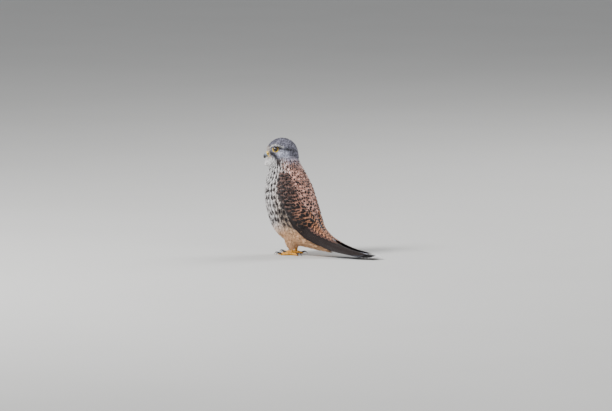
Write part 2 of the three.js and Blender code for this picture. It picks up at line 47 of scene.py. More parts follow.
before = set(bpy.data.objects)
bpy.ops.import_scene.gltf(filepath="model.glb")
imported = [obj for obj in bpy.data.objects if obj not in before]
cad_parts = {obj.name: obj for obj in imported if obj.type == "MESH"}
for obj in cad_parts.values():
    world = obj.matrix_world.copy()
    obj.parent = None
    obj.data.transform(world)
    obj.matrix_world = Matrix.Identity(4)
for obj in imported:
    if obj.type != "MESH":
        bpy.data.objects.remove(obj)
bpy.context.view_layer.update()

# The plumage's outline from the side, from the nape down and along the tail: a point on the back, one on
# the breast or underside, and the half width between them
STATIONS = {
    "nape": ((15, 183), (-35, 181), 21),
    "neck": ((20.5, 169), (-36.5, 167), 25),
    "neck_base": ((30.5, 153), (-40.5, 151), 31),
    "shoulders": ((39.5, 134.5), (-44.5, 131.5), 37.5),
    "breast": ((46.5, 113), (-45.5, 107), 40),
    "belly": ((53, 93), (-41, 79), 40),
    "flank": ((59.5, 74), (-26, 45), 37.5),
    "vent": ((67, 58), (5, 22), 31.5),
    "rump": ((76.5, 45), (42, 14.5), 26),
    "tail_base": ((92, 33), (76, 9.8), 21.5),
    "mid_tail": ((129, 18.2), (126, 5.4), 19),
    "bars": ((161, 11.2), (159.5, 2.6), 18),
    "tail_tip": ((192.5, 7), (192, 0.4), 17),
}
TORSO_ENDS_AT = 0.63
TORSO_CLOSES_FROM = 0.47

# The folded wing's lower and upper edges as angles round the body, by share of the middle line
WING_EDGES = np.array([
    (0.085, 80, 62), (0.14, 89, 48), (0.22, 87, 40), (0.3, 81, 32), (0.38, 75, 24), (0.46, 74, 16),
    (0.54, 80, 10), (0.62, 84, 9), (0.7, 80, 12), (0.79, 68, 18), (0.92, 46, 30), (0.99, 36, 24),
])
WING_CLOSES = {"from": 0.4, "to": 0.58, "narrow": 0.79}
WING_BULK = np.array([
    (0.085, 1), (0.11, 3.4), (0.15, 5.2), (0.2, 6.2), (0.25, 6.1), (0.29, 5.4), (0.35, 4.8), (0.43, 4),
    (0.5, 2), (0.99, 1.2),
])

# The head, in its own frame: f forwards along the bill, l to the left, u up
HEAD = {"x": -16.5, "z": 188.6, "turn": 22, "nod": 10}
SKULL = {"front": 27, "back": 30, "up": 26.6, "down": 23, "side": 21.5, "mean": 24}
EYE = {
    "f": 6.3, "l": 14.2, "u": 8.1, "radius": 5.2, "looks": (0.28, 0.95, 0.05),
    "ring": 5.4, "lid": 0.95, "lid_plane": 2.7, "lid_full_towards": (0.75, 0, -0.65),
}
BILL = {"root": (27, 0, 0), "cere_end": 26.4, "depth": 4.7, "width": 4.7, "low_width": 3.9, "low_flat": 0.6}

# Swellings and dents of the head's egg: place in its frame, spread, and height in millimetres
SWELLS = {
    "brow": ((EYE["f"] - 1, EYE["l"] + 3, EYE["u"] + 7.5), 5, 2.4),
    "brow_front": ((EYE["f"] + 6, EYE["l"] - 1, EYE["u"] + 5.5), 4.5, 1.8),
    "eye_socket": ((EYE["f"], EYE["l"] + 5, EYE["u"]), 6, -2.2),
    "cheek": ((2, 21, -7), 10, 1.4),
    "forehead": ((24, 0, 11), 8, 1.5),
    "bill_root": ((28, 0, -2), 8, -4.5),
    "nape": ((-24, 0, -13), 9, 4.5),
    "chin": ((25, 0, -11), 6.5, 11.5),
    "throat": ((19, 0, -17), 8, 3.8),
}

FOOT = {"y": 16.5, "left_x": 15, "right_x": 5, "ankle_z": 38, "toe_radius": 3}
TOES = {"inner": (30, 20, 11), "middle": (2, 27, 10.5), "outer": (-32, 21, 9.5), "hind": (172, 14, 11.5)}
THIGH = {
    "top_x": 14, "top_z": 64, "bottom_z": 12, "depth": 19, "width": 14, "hem": 10.5, "flat": 0.8, "ahead": 1,
    "aside": 2,
}

MM = 0.001
SEED = 41
LEFT = np.array([0, -1.0, 0])
SIDES = {"left": 1, "right": -1}

# A small share of a surface's length, by which slopes along it are measured
SMALL_STEP = 0.004


# Curves and the body's surfaces, as whole arrays

def centripetal(points, spot):
    """Centripetal Catmull-Rom spline: each stretch is a cubic whose end slopes come from its neighbours,
    weighted by the square roots of the distances; spot runs over the points from 0 to 1."""
    pts = np.asarray(points, float)
    pts = np.vstack([2 * pts[0] - pts[1], pts, 2 * pts[-1] - pts[-2]])
    place = np.asarray(spot, float) * (len(pts) - 3)
    i = np.clip(np.floor(place).astype(int), 0, len(pts) - 4)
    w = (place - i)[..., None]
    p0, p1, p2, p3 = (pts[i + k] for k in range(4))
    gaps = (np.linalg.norm(b - a, axis=-1, keepdims=True) for a, b in ((p0, p1), (p1, p2), (p2, p3)))
    d0, d1, d2 = (gap ** 0.5 for gap in gaps)
    t1 = ((p1 - p0) / d0 - (p2 - p0) / (d0 + d1) + (p2 - p1) / d1) * d1
    t2 = ((p2 - p1) / d1 - (p3 - p1) / (d1 + d2) + (p3 - p2) / d2) * d1
    return p1 + t1 * w + (3 * (p2 - p1) - 2 * t1 - t2) * w ** 2 + (2 * (p1 - p2) + t1 + t2) * w ** 3


def spline(points, count):
    """Evenly numbered places of the spline through the points."""
    return centripetal(points, np.linspace(0, 1, count))


def running_total(steps):
    """The sums along a row of steps, from 0."""
    return np.concatenate([[0], np.cumsum(steps)])


def steps_between(points):
    """The distances between neighbours in a line of points."""
    return np.linalg.norm(np.diff(points, axis=0), axis=1)


def alike(*values):
    """The values as arrays of one shape."""
    return np.broadcast_arrays(*(np.asarray(v, float) for v in values))


def together(*parts):
    """Points whose coordinates are the parts, brought to one shape."""
    return np.stack(np.broadcast_arrays(*parts), -1)


BACKS = np.array([(b[0], 0, b[1]) for b, f, w in STATIONS.values()], float)
FRONTS = np.array([(f[0], 0, f[1]) for b, f, w in STATIONS.values()], float)
WIDTHS = np.array([(w, 0, b[1]) for b, f, w in STATIONS.values()], float)
MIDDLES = (BACKS + FRONTS) / 2
FINE = np.linspace(0, 1, 1201)
LENGTHS = running_total(steps_between(centripetal(MIDDLES, FINE)))
AXIS_LENGTH = LENGTHS[-1]


def section(t):
    """Centre, back direction, half depth and half width of the plumage at shares t of its middle line."""
    spot = np.interp(np.asarray(t, float) * AXIS_LENGTH, LENGTHS, FINE)
    back, front = centripetal(BACKS, spot), centripetal(FRONTS, spot)
    depth = np.linalg.norm(back - front, axis=-1)
    return (back + front) / 2, (back - front) / depth[..., None], depth / 2, centripetal(WIDTHS, spot)[..., 0]


def smooth(x):
    """Ease from 0 to 1 with level ends."""
    x = np.clip(x, 0, 1)
    return x * x * (3 - 2 * x)


def mix(a, b, k):
    """a at k = 0 and b at k = 1, evenly between."""
    return a + (b - a) * k


def swelling(depth_below, reach):
    """A soft ramp, 0 far away and growing by the depth below a neighbour's surface, up to a little."""
    return np.minimum(reach * np.logaddexp(0, np.clip(depth_below / reach, -30, 30)), 1.7 * reach)


HEAD_TURN = np.array(
    Matrix.Rotation(math.radians(HEAD["turn"]), 3, "Z") @ Matrix.Rotation(math.radians(-HEAD["nod"]), 3, "Y"))
HEAD_CENTRE = np.array([HEAD["x"], 0, HEAD["z"]])


def in_head(flu):
    """Places in the head's frame (forwards, left, up) as points of the bird."""
    flu = np.asarray(flu, float)
    return (flu * [-1, -1, 1]) @ HEAD_TURN.T + HEAD_CENTRE


def to_head(xyz):
    """Points of the bird in the head's frame."""
    return ((np.asarray(xyz, float) - HEAD_CENTRE) @ HEAD_TURN) * [-1, -1, 1]


def swell(p, place, spread, high):
    """A round swelling: a bell curve over the distance from its place."""
    return high * np.exp(-np.sum((p - place) ** 2, axis=-1) / spread ** 2)


def skull(way, height):
    """The head's plumage in its own frame: an egg that narrows towards the face, moved in or out by the
    swellings; way is a unit direction from its centre."""
    half_length = np.where(way[..., 0] > 0, SKULL["front"], SKULL["back"])
    half_height = np.where(way[..., 2] > 0, SKULL["up"], SKULL["down"])
    side = np.full(way.shape[:-1], float(SKULL["side"]))
    for _ in range(4):
        reach = 1 / np.sqrt((way[..., 0] / half_length) ** 2 + (way[..., 1] / side) ** 2
                            + (way[..., 2] / half_height) ** 2)
        side = SKULL["side"] * (1 - 0.3 * smooth(way[..., 0] * reach / half_length))
    base = way * reach[..., None]
    out = base / np.stack([half_length ** 2, side ** 2, half_height ** 2], -1)
    out /= np.linalg.norm(out, axis=-1, keepdims=True)
    rise = sum(swell(on_left(base), *values) for values in SWELLS.values())
    return base + out * (rise + height)[..., None], out


def on_left(flu):
    """Places in the head's frame, those of the right side mirrored to the left."""
    return np.stack([flu[..., 0], np.abs(flu[..., 1]), flu[..., 2]], -1)


# The neck's sections are nearly level; it ends at this height, and is read over these shares
NECK_TOP = 178
NECK_SLOPE = 0.03
NECK_END = 0.2


def neck_depth(p):
    """How deep points lie below the neck's plumage, negative outside."""
    shares = np.linspace(-0.02, NECK_END, 45)
    middle = section(shares)[0]
    t = np.interp(-p[..., 2] + NECK_SLOPE * p[..., 0], -middle[:, 2] + NECK_SLOPE * middle[:, 0], shares)
    centre, back, depth, width = section(np.clip(t, 0, NECK_END))
    off = p - centre
    a = np.einsum("...i,...i", off, back) / depth
    b = off[..., 1] / width
    return np.minimum((1 - np.sqrt(a * a + b * b)) * (depth + width) / 2, NECK_TOP - p[..., 2])


def head_depth(p):
    """How deep points lie below the head's plumage, taken as a plain egg; negative outside."""
    q = to_head(p)
    far = np.where(q[..., 0] > 0, SKULL["front"], SKULL["back"])
    tall = np.where(q[..., 2] > 0, SKULL["up"], SKULL["down"])
    ratio = np.sqrt((q[..., 0] / far) ** 2 + (q[..., 1] / SKULL["side"]) ** 2 + (q[..., 2] / tall) ** 2)
    return (1 - ratio) * SKULL["mean"]


# The fillet between head and neck: its radius, and the share where it has run out
FILLET = 3.2
FILLET_END = 0.16


def body(t, degrees, height=0.0):
    """A point on the body's plumage: an ellipse round each station of the outline, rounded off at the
    vent, with a soft fillet where the head sits on it."""
    t, degrees, height = alike(t, degrees, height)
    centre, back, depth, width = section(t)
    angle = np.radians(degrees)
    flat = back * np.cos(angle)[..., None] + LEFT * np.sin(angle)[..., None]
    shut = np.clip((t - TORSO_CLOSES_FROM) / (TORSO_ENDS_AT - TORSO_CLOSES_FROM), 0, 1)
    full = np.maximum(np.sqrt(1 - shut ** 2), 0.12)
    deep, wide = depth * full * np.cos(angle), width * full * np.sin(angle)
    p = centre + (back * deep[..., None] + LEFT * wide[..., None])
    lift = np.where(t < FILLET_END, swelling(head_depth(p), FILLET), 0)
    return p + flat * (height + lift)[..., None]


def long_body(t, degrees, height=0.0):
    """The body's plumage without its rounded end: the outline's ellipses carried on along the tail."""
    t, degrees, height = alike(t, degrees, height)
    centre, back, depth, width = section(t)
    angle = np.radians(degrees)[..., None]
    tall, wide = (depth + height)[..., None], (width + height)[..., None]
    p = centre + back * tall * np.cos(angle) + LEFT * wide * np.sin(angle)
    lift = np.where(t < FILLET_END, swelling(head_depth(p), FILLET), 0)
    return p + (back * np.cos(angle) + LEFT * np.sin(angle)) * lift[..., None]


BEND_OVER = math.radians(78)


def head(along, degrees, height=0.0):
    """A point on the head's plumage. along runs from the bill (0) over the head to the neck (1) and
    degrees round it from the crown (0) by the left cheek (90) to the throat (180): a globe's meridians,
    turned more and more downwards from front to back."""
    along, degrees, height = alike(along, degrees, height)
    polar, around = along * math.pi, np.radians(degrees)
    f, l, u = np.cos(polar), np.sin(polar) * np.sin(around), np.sin(polar) * np.cos(around)
    bend = BEND_OVER * along ** 1.2
    way = np.stack([f * np.cos(bend) - u * np.sin(bend), l, u * np.cos(bend) + f * np.sin(bend)], -1)
    way /= np.linalg.norm(way, axis=-1, keepdims=True)
    p, out = skull(way, height)
    world = in_head(p)
    normal = in_head(p + out) - world
    lift = swelling(neck_depth(world), FILLET)
    return world + normal * lift[..., None]


def under_wing(t, degrees, height=0.0):
    """A point of the surface that the wing lies on: the outline's ellipses, but rounder over the tail."""
    t, degrees, height = alike(t, degrees, height)
    centre, back, depth, width = section(t)
    round_depth = np.maximum(depth, 0.7 * width)
    angle = np.radians(degrees)
    return (centre + back * (depth - round_depth + (round_depth + height) * np.cos(angle))[..., None]
            + LEFT * ((width + height) * np.sin(angle))[..., None])


# How the wing's edges are drawn for their spline: its run, and the degrees that make one step up
EDGE_RUN = 12
EDGE_STEP = 20


def wing_edge(t, column):
    """The wing's lower (1) or upper (2) edge as an angle: a spline through the edge table."""
    knots = WING_EDGES[:, 0]
    spot = np.interp(t, knots, np.linspace(0, 1, len(knots)))
    line = np.column_stack([np.linspace(0, EDGE_RUN, len(knots)), WING_EDGES[:, column] / EDGE_STEP])
    return centripetal(line, spot)[..., 1] * EDGE_STEP


def wing_closed(t):
    """How far the wing has narrowed towards its tip, 0 to 1."""
    return smooth((t - WING_CLOSES["from"]) / (WING_CLOSES["to"] - WING_CLOSES["from"]))


def wing(t, reach, height=0.0):
    """A point of the folded left wing: reach millimetres up from its leading edge, at a height over its
    bed. The millimetres become degrees by the bed's size there."""
    t, reach, height = alike(t, reach, height)
    low = wing_edge(t, 1)

    def per_degree(degrees):
        return np.linalg.norm(under_wing(t, degrees + 0.5) - under_wing(t, degrees - 0.5), axis=-1)

    up = reach * mix(1, WING_CLOSES["narrow"], wing_closed(t))
    guess = low - up / per_degree(low - 8)
    return under_wing(t, low - up / per_degree((low + guess) / 2), height)


def thigh(side):
    """The feathered leg as a surface, an ellipse that shrinks downwards: along from the belly (0) to the
    hem (1), degrees round it from the back (0) by the outer side (90)."""
    foot_x = FOOT["left_x"] if side > 0 else FOOT["right_x"]

    def surface(along, degrees, height=0.0):
        along, degrees, height = alike(along, degrees, height)
        full = np.sqrt(np.clip(1 - 0.8 * np.clip(along, 0, 1) ** 7, 0, 1))
        depth = mix(THIGH["depth"], THIGH["hem"], along) * full + height
        width = mix(THIGH["width"], THIGH["hem"] * THIGH["flat"], along) * full + height
        angle = np.radians(degrees)
        x = mix(THIGH["top_x"], foot_x - THIGH["ahead"], along) + depth * np.cos(angle)
        y = -side * (mix(FOOT["y"] + THIGH["aside"], FOOT["y"], along) + width * np.sin(angle))
        return np.stack([x, y, mix(THIGH["top_z"], THIGH["bottom_z"], along) + 0 * depth], -1)

    return surface


# The bird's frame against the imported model's, read from the eye
EYE_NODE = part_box("eye_left")
SHIFT = (np.array(EYE_NODE[0]) + np.array(EYE_NODE[1])) / 2 / MM - in_head([EYE["f"], EYE["l"], EYE["u"]])


# Meshes

def grid_faces(rows, columns):
    """Quads of a grid of points, rows by columns, whose last column joins the first."""
    i = np.arange(rows - 1)[:, None] * columns
    j = np.arange(columns)[None, :]
    k = (j + 1) % columns
    return np.stack([i + j, i + k, i + columns + k, i + columns + j], -1).reshape(-1, 4)


# A shape is a dictionary: points, quads and triangles, and those of these layers that it has
UV_LAYERS = {"uv": "VaneUV", "baked": "OFBake"}
COLOUR_LAYERS = ("tint", "mark", "spot")


def make_object(name, shape, material):
    """A mesh object in metres from a shape in the bird's millimetres, with its layers and one material."""
    mesh = bpy.data.meshes.new(name)
    points = (shape["points"] + SHIFT) * MM
    quads, triangles = shape["quads"], shape["triangles"]
    loops = np.concatenate([quads.ravel(), triangles.ravel()]).astype(np.int32)
    totals = np.repeat([4, 3], [len(quads), len(triangles)]).astype(np.int32)
    mesh.vertices.add(len(points))
    mesh.vertices.foreach_set("co", points.astype(np.float32).ravel())
    mesh.loops.add(len(loops))
    mesh.loops.foreach_set("vertex_index", loops)
    mesh.polygons.add(len(totals))
    mesh.polygons.foreach_set("loop_start", running_total(totals)[:-1].astype(np.int32))
    mesh.polygons.foreach_set("loop_total", totals)
    mesh.polygons.foreach_set("use_smooth", np.ones(len(totals), bool))
    for key, layer in UV_LAYERS.items():
        if key in shape:
            made = mesh.uv_layers.new(name=layer)
            made.data.foreach_set("uv", shape[key].astype(np.float32)[loops].ravel())
    for layer in COLOUR_LAYERS:
        if layer in shape:
            add_colours(mesh, layer, shape[layer])
    mesh.update(calc_edges=True)
    mesh.validate()
    made = bpy.data.objects.new(name, mesh)
    bpy.context.scene.collection.objects.link(made)
    mesh.materials.append(material)
    return made


def add_colours(mesh, layer, values):
    """A colour for each point, from rows of three or four values."""
    if values.shape[1] == 3:
        values = np.column_stack([values, np.ones(len(values))])
    made = mesh.attributes.new(layer, "FLOAT_COLOR", "POINT")
    made.data.foreach_set("color", values.astype(np.float32).ravel())


def place(piece, slot, *nodes):
    """Tie a finished piece to the model's root body and hide the solids that it stands for. The slot is not
    used.
    """
    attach(piece, "root")
    if nodes:
        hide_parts(*nodes)


def closed_loft(rings):
    """A shape of skin over rings of equal length, both ends closed by fans to their middles."""
    rows, columns = rings.shape[:2]
    points = np.vstack([rings.reshape(-1, 3), rings[0].mean(0), rings[-1].mean(0)])
    j = np.arange(columns)
    k = (j + 1) % columns
    end = (rows - 1) * columns
    first = np.column_stack([np.full(columns, rows * columns), k, j])
    last = np.column_stack([np.full(columns, rows * columns + 1), end + j, end + k])
    quads, triangles = turned_out(points, grid_faces(rows, columns), np.vstack([first, last]))
    return {"points": points, "quads": quads, "triangles": triangles}


def turned_out(points, quads, triangles):
    """The same faces, reversed if the closed shape's volume came out negative."""
    whole = np.vstack([quads[:, [0, 1, 2]], quads[:, [0, 2, 3]], triangles])
    a, b, c = (points[whole[:, k]] for k in range(3))
    if np.einsum("ij,ij->", a, np.cross(b, c)) < 0:
        return quads[:, ::-1], triangles[:, ::-1]
    return quads, triangles


def joined(shapes):
    """Several shapes as one: their layers follow each other, and their faces count on."""
    starts = np.cumsum([0] + [len(s["points"]) for s in shapes[:-1]])
    return {key: np.vstack([s[key] + n * (key in ("quads", "triangles")) for s, n in zip(shapes, starts)])
            for key in shapes[0]}


def loft_object(name, lofts, material, **layers):
    """One or more closed lofts as one mesh."""
    return make_object(name, {**joined([closed_loft(rings) for rings in lofts]), **layers}, material)


def apply_modifiers(piece):
    """Put a piece's modifiers into its mesh."""
    graph = bpy.context.evaluated_depsgraph_get()
    graph.update()
    made = bpy.data.meshes.new_from_object(piece.evaluated_get(graph))
    old = piece.data
    piece.modifiers.clear()
    piece.data = made
    made.name = piece.name
    bpy.data.meshes.remove(old)


def ball(rings, sides, cap):
    """Rings of a unit ball round its z axis; the first and last stand off the poles by the angle cap."""
    polar = np.linspace(cap, math.pi - cap, rings)[:, None]
    ring = np.linspace(0, 2 * math.pi, sides, endpoint=False)
    return together(np.sin(polar) * np.cos(ring), np.sin(polar) * np.sin(ring), np.cos(polar))


def tube_rings(path, across_radius, along_radius, sides, across=None):
    """Ellipses carried along a path of points, square to it; across is the direction of the first radius."""
    tangent = np.gradient(path, axis=0)
    tangent /= np.linalg.norm(tangent, axis=1, keepdims=True)
    side = np.cross(tangent, [0, 0, 1.0]) if across is None else np.broadcast_to(across, path.shape)
    side = side - tangent * np.einsum("ij,ij->i", side, tangent)[:, None]
    side /= np.linalg.norm(side, axis=1, keepdims=True)
    up = np.cross(side, tangent)
    angle = np.linspace(0, 2 * math.pi, sides, endpoint=False)
    return (path[:, None] + side[:, None] * (across_radius[:, None] * np.cos(angle))[..., None]
            + up[:, None] * (along_radius[:, None] * np.sin(angle))[..., None])


# Feathers

# Cross-sections of a small feather and of a strand: place across (-1 to 1) and which face, 1 the outer one
VANE_RING = np.array([(-1, 0), (-0.45, 1), (0, 1), (0.45, 1), (1, 0), (0, -1)], float)
STRAND_RING = np.array([(-1, 0), (0, 1), (1, 0), (0, -1)], float)

# The spot of a feather that has none
NO_SPOT = (0.5, 0.01, 0.01, 0.0)

# The bake map: the width of a small feather's patch, and the coats' areas by left, bottom, width and height
BAKE_PATCH = 0.003
AREAS = {
    "body": (0, 0, 0.5, 0.62), "head": (0.52, 0, 0.46, 0.3), "coverts": (0.02, 0, 0.9, 0.62),
    "leg_left": (0.52, 0.32, 0.4, 0.16), "leg_right": (0.52, 0.5, 0.4, 0.16),
}
FLIGHT_PATCH = np.array([0.02, 0.66, 0.04, 0.14])
TAIL_PATCH = np.array([0.02, 0.83, 0.07, 0.15])


def feather_shape(rows, tip, root=0.5):
    """Rows of a feather: share of its length and of its width, from a narrow root to a rounded tip."""
    k = np.linspace(0, 1, rows) ** 0.85
    closing = np.clip((k - (1 - tip)) / tip, 0, 1)
    return k, mix(root, 1, smooth(k / 0.45)) * np.sqrt(np.clip(1 - closing ** 2, 0.02, 1))


def plumes(surface, u, v, length, width, root_height, tip_height, rng, paint, lean=0.0, rows=6, thick=0.16,
           tip=0.4, ring=VANE_RING, mark=(0, 0, 0), spot=NO_SPOT, area=(0, 0, 1, 1), span=360.0, dome=0.1,
           vary=0.08):
    """Many small feathers as closed slivers that follow a surface. Each runs from its root (u, v) along
    growing u, turned by about lean degrees; its height goes from root to tip height. paint gives the
    colours of all points from their places and surface coordinates."""
    count = len(u)
    length, width, root_height, tip_height = (
        np.broadcast_to(np.asarray(a, float), count)[:, None, None]
        for a in (length, width, root_height, tip_height))
    k, w = feather_shape(rows, tip)
    k, w = k[None, :, None], w[None, :, None]
    side, face = ring[:, 0][None, None], ring[:, 1][None, None]
    here = surface(u, v, 0.0)
    per_u = np.linalg.norm(surface(u + SMALL_STEP, v, 0.0) - here, axis=-1)[:, None, None] / SMALL_STEP
    per_v = np.linalg.norm(surface(u, v + 1.0, 0.0) - here, axis=-1)[:, None, None]
    turn = np.radians(rng.normal(0, lean, count))[:, None, None]
    curl = rng.normal(0, 0.05, count)[:, None, None]
    s, x = k * length + 0 * side, w * width / 2 * side + curl * length * k ** 2
    at_u = u[:, None, None] + (s * np.cos(turn) - x * np.sin(turn)) / per_u
    at_v = v[:, None, None] + (s * np.sin(turn) + x * np.cos(turn)) / per_v
    high = mix(root_height, tip_height, smooth(k)) + dome * width * w * (1 - side ** 2)
    high = high + face * thick * (0.35 + 0.65 * (1 - k))
    points = surface(at_u, at_v, high)
    tint = paint(points, at_u, at_v) * (1 + rng.normal(0, vary, (count, 1, 1, 1)))
    uv = together(0.5 + 0.5 * w * side, k + 0 * points[..., 0])
    roots = np.stack([area[0] + area[2] * (v % span) / span, area[1] + area[3] * u], -1)
    baked = roots[:, None, None] + BAKE_PATCH * (uv - 0.5)
    every = rows * len(ring)
    return {**sliver_faces(points), "uv": uv.reshape(-1, 2), "baked": baked.reshape(-1, 2),
            "tint": tint.reshape(-1, 3), "mark": np.repeat(np.broadcast_to(mark, (count, 3)), every, 0),
            "spot": np.repeat(np.broadcast_to(spot, (count, 4)), every, 0)}


def sliver_faces(points):
    """The shape of many closed slivers: count by rows by points round the section, the ends flat."""
    count, rows, around = points.shape[:3]
    i = np.arange(around - 2)
    fan = np.column_stack([np.full(around - 2, around - 1), i, i + 1])
    fans = np.vstack([fan[:, ::-1], fan + (rows - 1) * around])
    first = points[0].reshape(-1, 3) - points[0, 0, 0]
    quads, triangles = turned_out(first, grid_faces(rows, around), fans)
    offset = (np.arange(count) * rows * around)[:, None, None]
    return {"points": points.reshape(-1, 3), "quads": (quads[None] + offset).reshape(-1, 4),
            "triangles": (triangles[None] + offset).reshape(-1, 3)}


def mirrored(shape):
    """The same feathers on the other side of the bird, and on the other part of the bake map."""
    return {**shape, "points": shape["points"] * [1, -1, 1], "quads": shape["quads"][:, ::-1],
            "triangles": shape["triangles"][:, ::-1], "baked": shape["baked"] * [1, -1] + [0, 1]}


def place_both(name, left, material, *nodes):
    """A wing's feathers as a piece on the left, and their mirror image as a piece on the right."""
    for side, shape in (("left", left), ("right", mirrored(left))):
        piece = make_object(f"{name}_{side}", shape, material)
        place(piece, "wing_feathers", *(f"{node}_{side}" for node in nodes))


def rows_of_roots(surface, start, stop, row_gaps, gaps, rng, keep=None):
    """Roots in staggered rows. Both gaps, in millimetres, go from their first to their second value, and
    keep says which roots stay."""
    line = np.linspace(start, stop, 240)
    step = steps_between(surface(line, 90.0))
    passed = running_total(step / np.linspace(*row_gaps, len(step)))
    rows = int(passed[-1])
    spots_u, spots_v = [], []
    ring = np.linspace(0, 360, 361)
    for n in range(rows):
        u = np.interp((n + 0.5) * passed[-1] / rows, passed, line)
        length = running_total(steps_between(surface(u, ring)))
        count = max(int(length[-1] / mix(*gaps, (n + 0.5) / rows)), 3)
        at = (np.arange(count) + (n % 2) * 0.5 + rng.uniform(-0.2, 0.2, count)) % count / count * length[-1]
        spots_v.append(np.interp(at, length, ring))
        spots_u.append(np.full(count, u) + rng.uniform(-0.2, 0.2, count) * (stop - start) / rows)
    u, v = np.concatenate(spots_u), np.concatenate(spots_v)
    if keep is not None:
        good = keep(u, v)
        u, v = u[good], v[good]
    return u, v


# Uneven numbers that turn a cell's place into a share that looks random
SCATTER = {"i": 127.1, "j": 311.7, "n": 74.7, "spread": 43758.5453}


def scatter(i, j, n):
    """A fixed random share for each cell (i, j) of a pattern."""
    wave = np.sin(i * SCATTER["i"] + j * SCATTER["j"] + n * SCATTER["n"])
    return np.modf(np.abs(wave * SCATTER["spread"]))[0]


# The breast's drops: how many rows of them lie above each share of the middle line, with rows wider apart
# from the neck down, and the degrees from one column to the next
DROP_SHARES = np.linspace(0, 0.7, 200)
DROP_GAPS = np.interp(DROP_SHARES[1:], [0.03, 0.14, 0.3], [7.0, 11.5, 13.5])
DROP_ROWS = running_total(np.diff(DROP_SHARES) * AXIS_LENGTH / DROP_GAPS)
DROP_COLUMN = 11


def drops(t, degrees):
    """Dark drops on the pale plumage, 1 inside and 0 outside: a staggered pattern of tapering streaks,
    larger and wider apart from the neck down."""
    run = np.interp(t, DROP_SHARES, DROP_ROWS)
    across = (degrees - 180) / DROP_COLUMN + 0.35 * np.sin(t * 23)
    j = np.floor(across)
    run = run + scatter(0, j, 5)
    i = np.floor(run)
    along = run - i - 0.5 + 0.24 * (scatter(i, j, 1) - 0.5)
    side = across - j - 0.5 + 0.3 * (scatter(i, j, 2) - 0.5)
    grown = smooth((t - 0.04) / 0.16)
    tapered = 1 - 0.75 * smooth((0.1 - along) / 0.45)
    half_width = mix(0.27, 0.39, grown) * mix(0.75, 1.2, scatter(i, j, 3)) * tapered
    half_length = mix(0.5, 0.43, grown)
    shape = np.abs(along / half_length) ** 2.4 + np.abs(side / half_width) ** 2
    return smooth((1.3 - shape) / 0.6)


def blend(value, *pairs):
    """Colours along a value, from pairs of (place, colour), evenly between them."""
    places = [p for p, c in pairs]
    colours = np.array([c for p, c in pairs], float)
    return np.stack([np.interp(value, places, colours[:, i]) for i in range(colours.shape[1])], -1)


# Settings that a user would change

def rgb(name, description, default):
    """A colour setting."""
    return FloatVectorProperty(name=name, description=description, subtype="COLOR", size=3, min=0, max=1,
                               default=default)


def millimetres(name, description, default):
    """A length setting, kept in metres."""
    return FloatProperty(name=name, description=description, unit="LENGTH", min=0, precision=5,
                         default=default * MM)


class KestrelColours(bpy.types.PropertyGroup):
    """Colours of the plumage and the bare parts, linear"""

    white: rgb("White", "Throat, brow and the tail's tip", (0.88, 0.86, 0.85))
    cream: rgb("Cream", "Ground colour of the breast", (0.86, 0.82, 0.81))
    buff: rgb("Buff", "Flanks and forehead", (0.56, 0.4, 0.28))
    peach: rgb("Peach", "Belly and leg feathers", (0.7, 0.41, 0.225))
    grey: rgb("Grey", "Crown and nape", (0.21, 0.205, 0.265))
    pale_grey: rgb("Pale grey", "Cheeks", (0.56, 0.57, 0.7))
    slate: rgb("Slate", "Dark marks of the face", (0.045, 0.043, 0.055))
    mantle: rgb("Mantle", "Back and shoulder feathers", (0.68, 0.37, 0.29))
    rufous: rgb("Rufous", "Wing coverts", (0.38, 0.185, 0.135))
    orange: rgb("Orange", "Innermost wing feathers", (0.47, 0.21, 0.115))
    umber: rgb("Umber", "Flight feathers and the streaks of the breast", (0.028, 0.02, 0.019))
    black: rgb("Black", "Spots of the back and the tail's bar", (0.012, 0.009, 0.009))
    tail: rgb("Tail", "Tail feathers and rump", (0.27, 0.275, 0.32))
    skin: rgb("Bare skin", "Cere and the rings of the eyes", (0.74, 0.47, 0.02))
    toes: rgb("Toes", "Bare legs and toes", (0.6, 0.27, 0.02))
    horn: rgb("Horn", "Root of the bill", (0.22, 0.27, 0.34))


class KestrelSizes(bpy.types.PropertyGroup):
    """Sizes of the plumage"""

    coat_depth: millimetres("Coat depth", "How far the skin lies below the feathers' tips", 3.6)
    breast_gap: millimetres("Breast gap", "Spacing of the strands of the breast", 2.3)
    mantle_gap: millimetres("Mantle gap", "Spacing of the back's feathers", 6.2)
    head_gap: millimetres("Head gap", "Spacing of the head's feathers", 1.55)
    leg_gap: millimetres("Leg gap", "Spacing of the leg's strands", 1.9)
    covert_gap: millimetres("Covert gap", "Spacing of the smallest wing coverts", 3.4)
    vane_thickness: millimetres("Vane thickness", "Thickness of a flight feather", 0.24)


class KestrelView(bpy.types.PropertyGroup):
    """The photo's camera"""

    azimuth: FloatProperty(name="Azimuth", description="Turn of the camera from the bird's left side",
                           subtype="ANGLE", default=math.radians(30))
    elevation: FloatProperty(name="Elevation", description="Height of the camera as an angle",
                             subtype="ANGLE", default=math.radians(6))
    distance: FloatProperty(name="Distance", description="From the camera to the bird", unit="LENGTH",
                            default=12.5)
    pixel: millimetres("Pixel", "Size of one pixel of the photo at the bird", 1.85)
    width: IntProperty(name="Width", description="The photo's width", subtype="PIXEL", default=612)
    height: IntProperty(name="Height", description="The photo's height", subtype="PIXEL", default=411)
    foot_x: FloatProperty(name="Foot X", description="The foot's place across the photo", subtype="PIXEL",
                          default=289)
    foot_y: FloatProperty(name="Foot Y", description="The foot's place down the photo", subtype="PIXEL",
                          default=246.5)
    raised: millimetres("Raised", "How much longer the bare legs are than the photo shows", 14)


def colour(name):
    """A colour of the settings."""
    return np.array(getattr(bpy.context.scene.kestrel_colours, name))


def size(name):
    """A size of the settings, in millimetres."""
    return getattr(bpy.context.scene.kestrel_sizes, name) / MM


# Markings

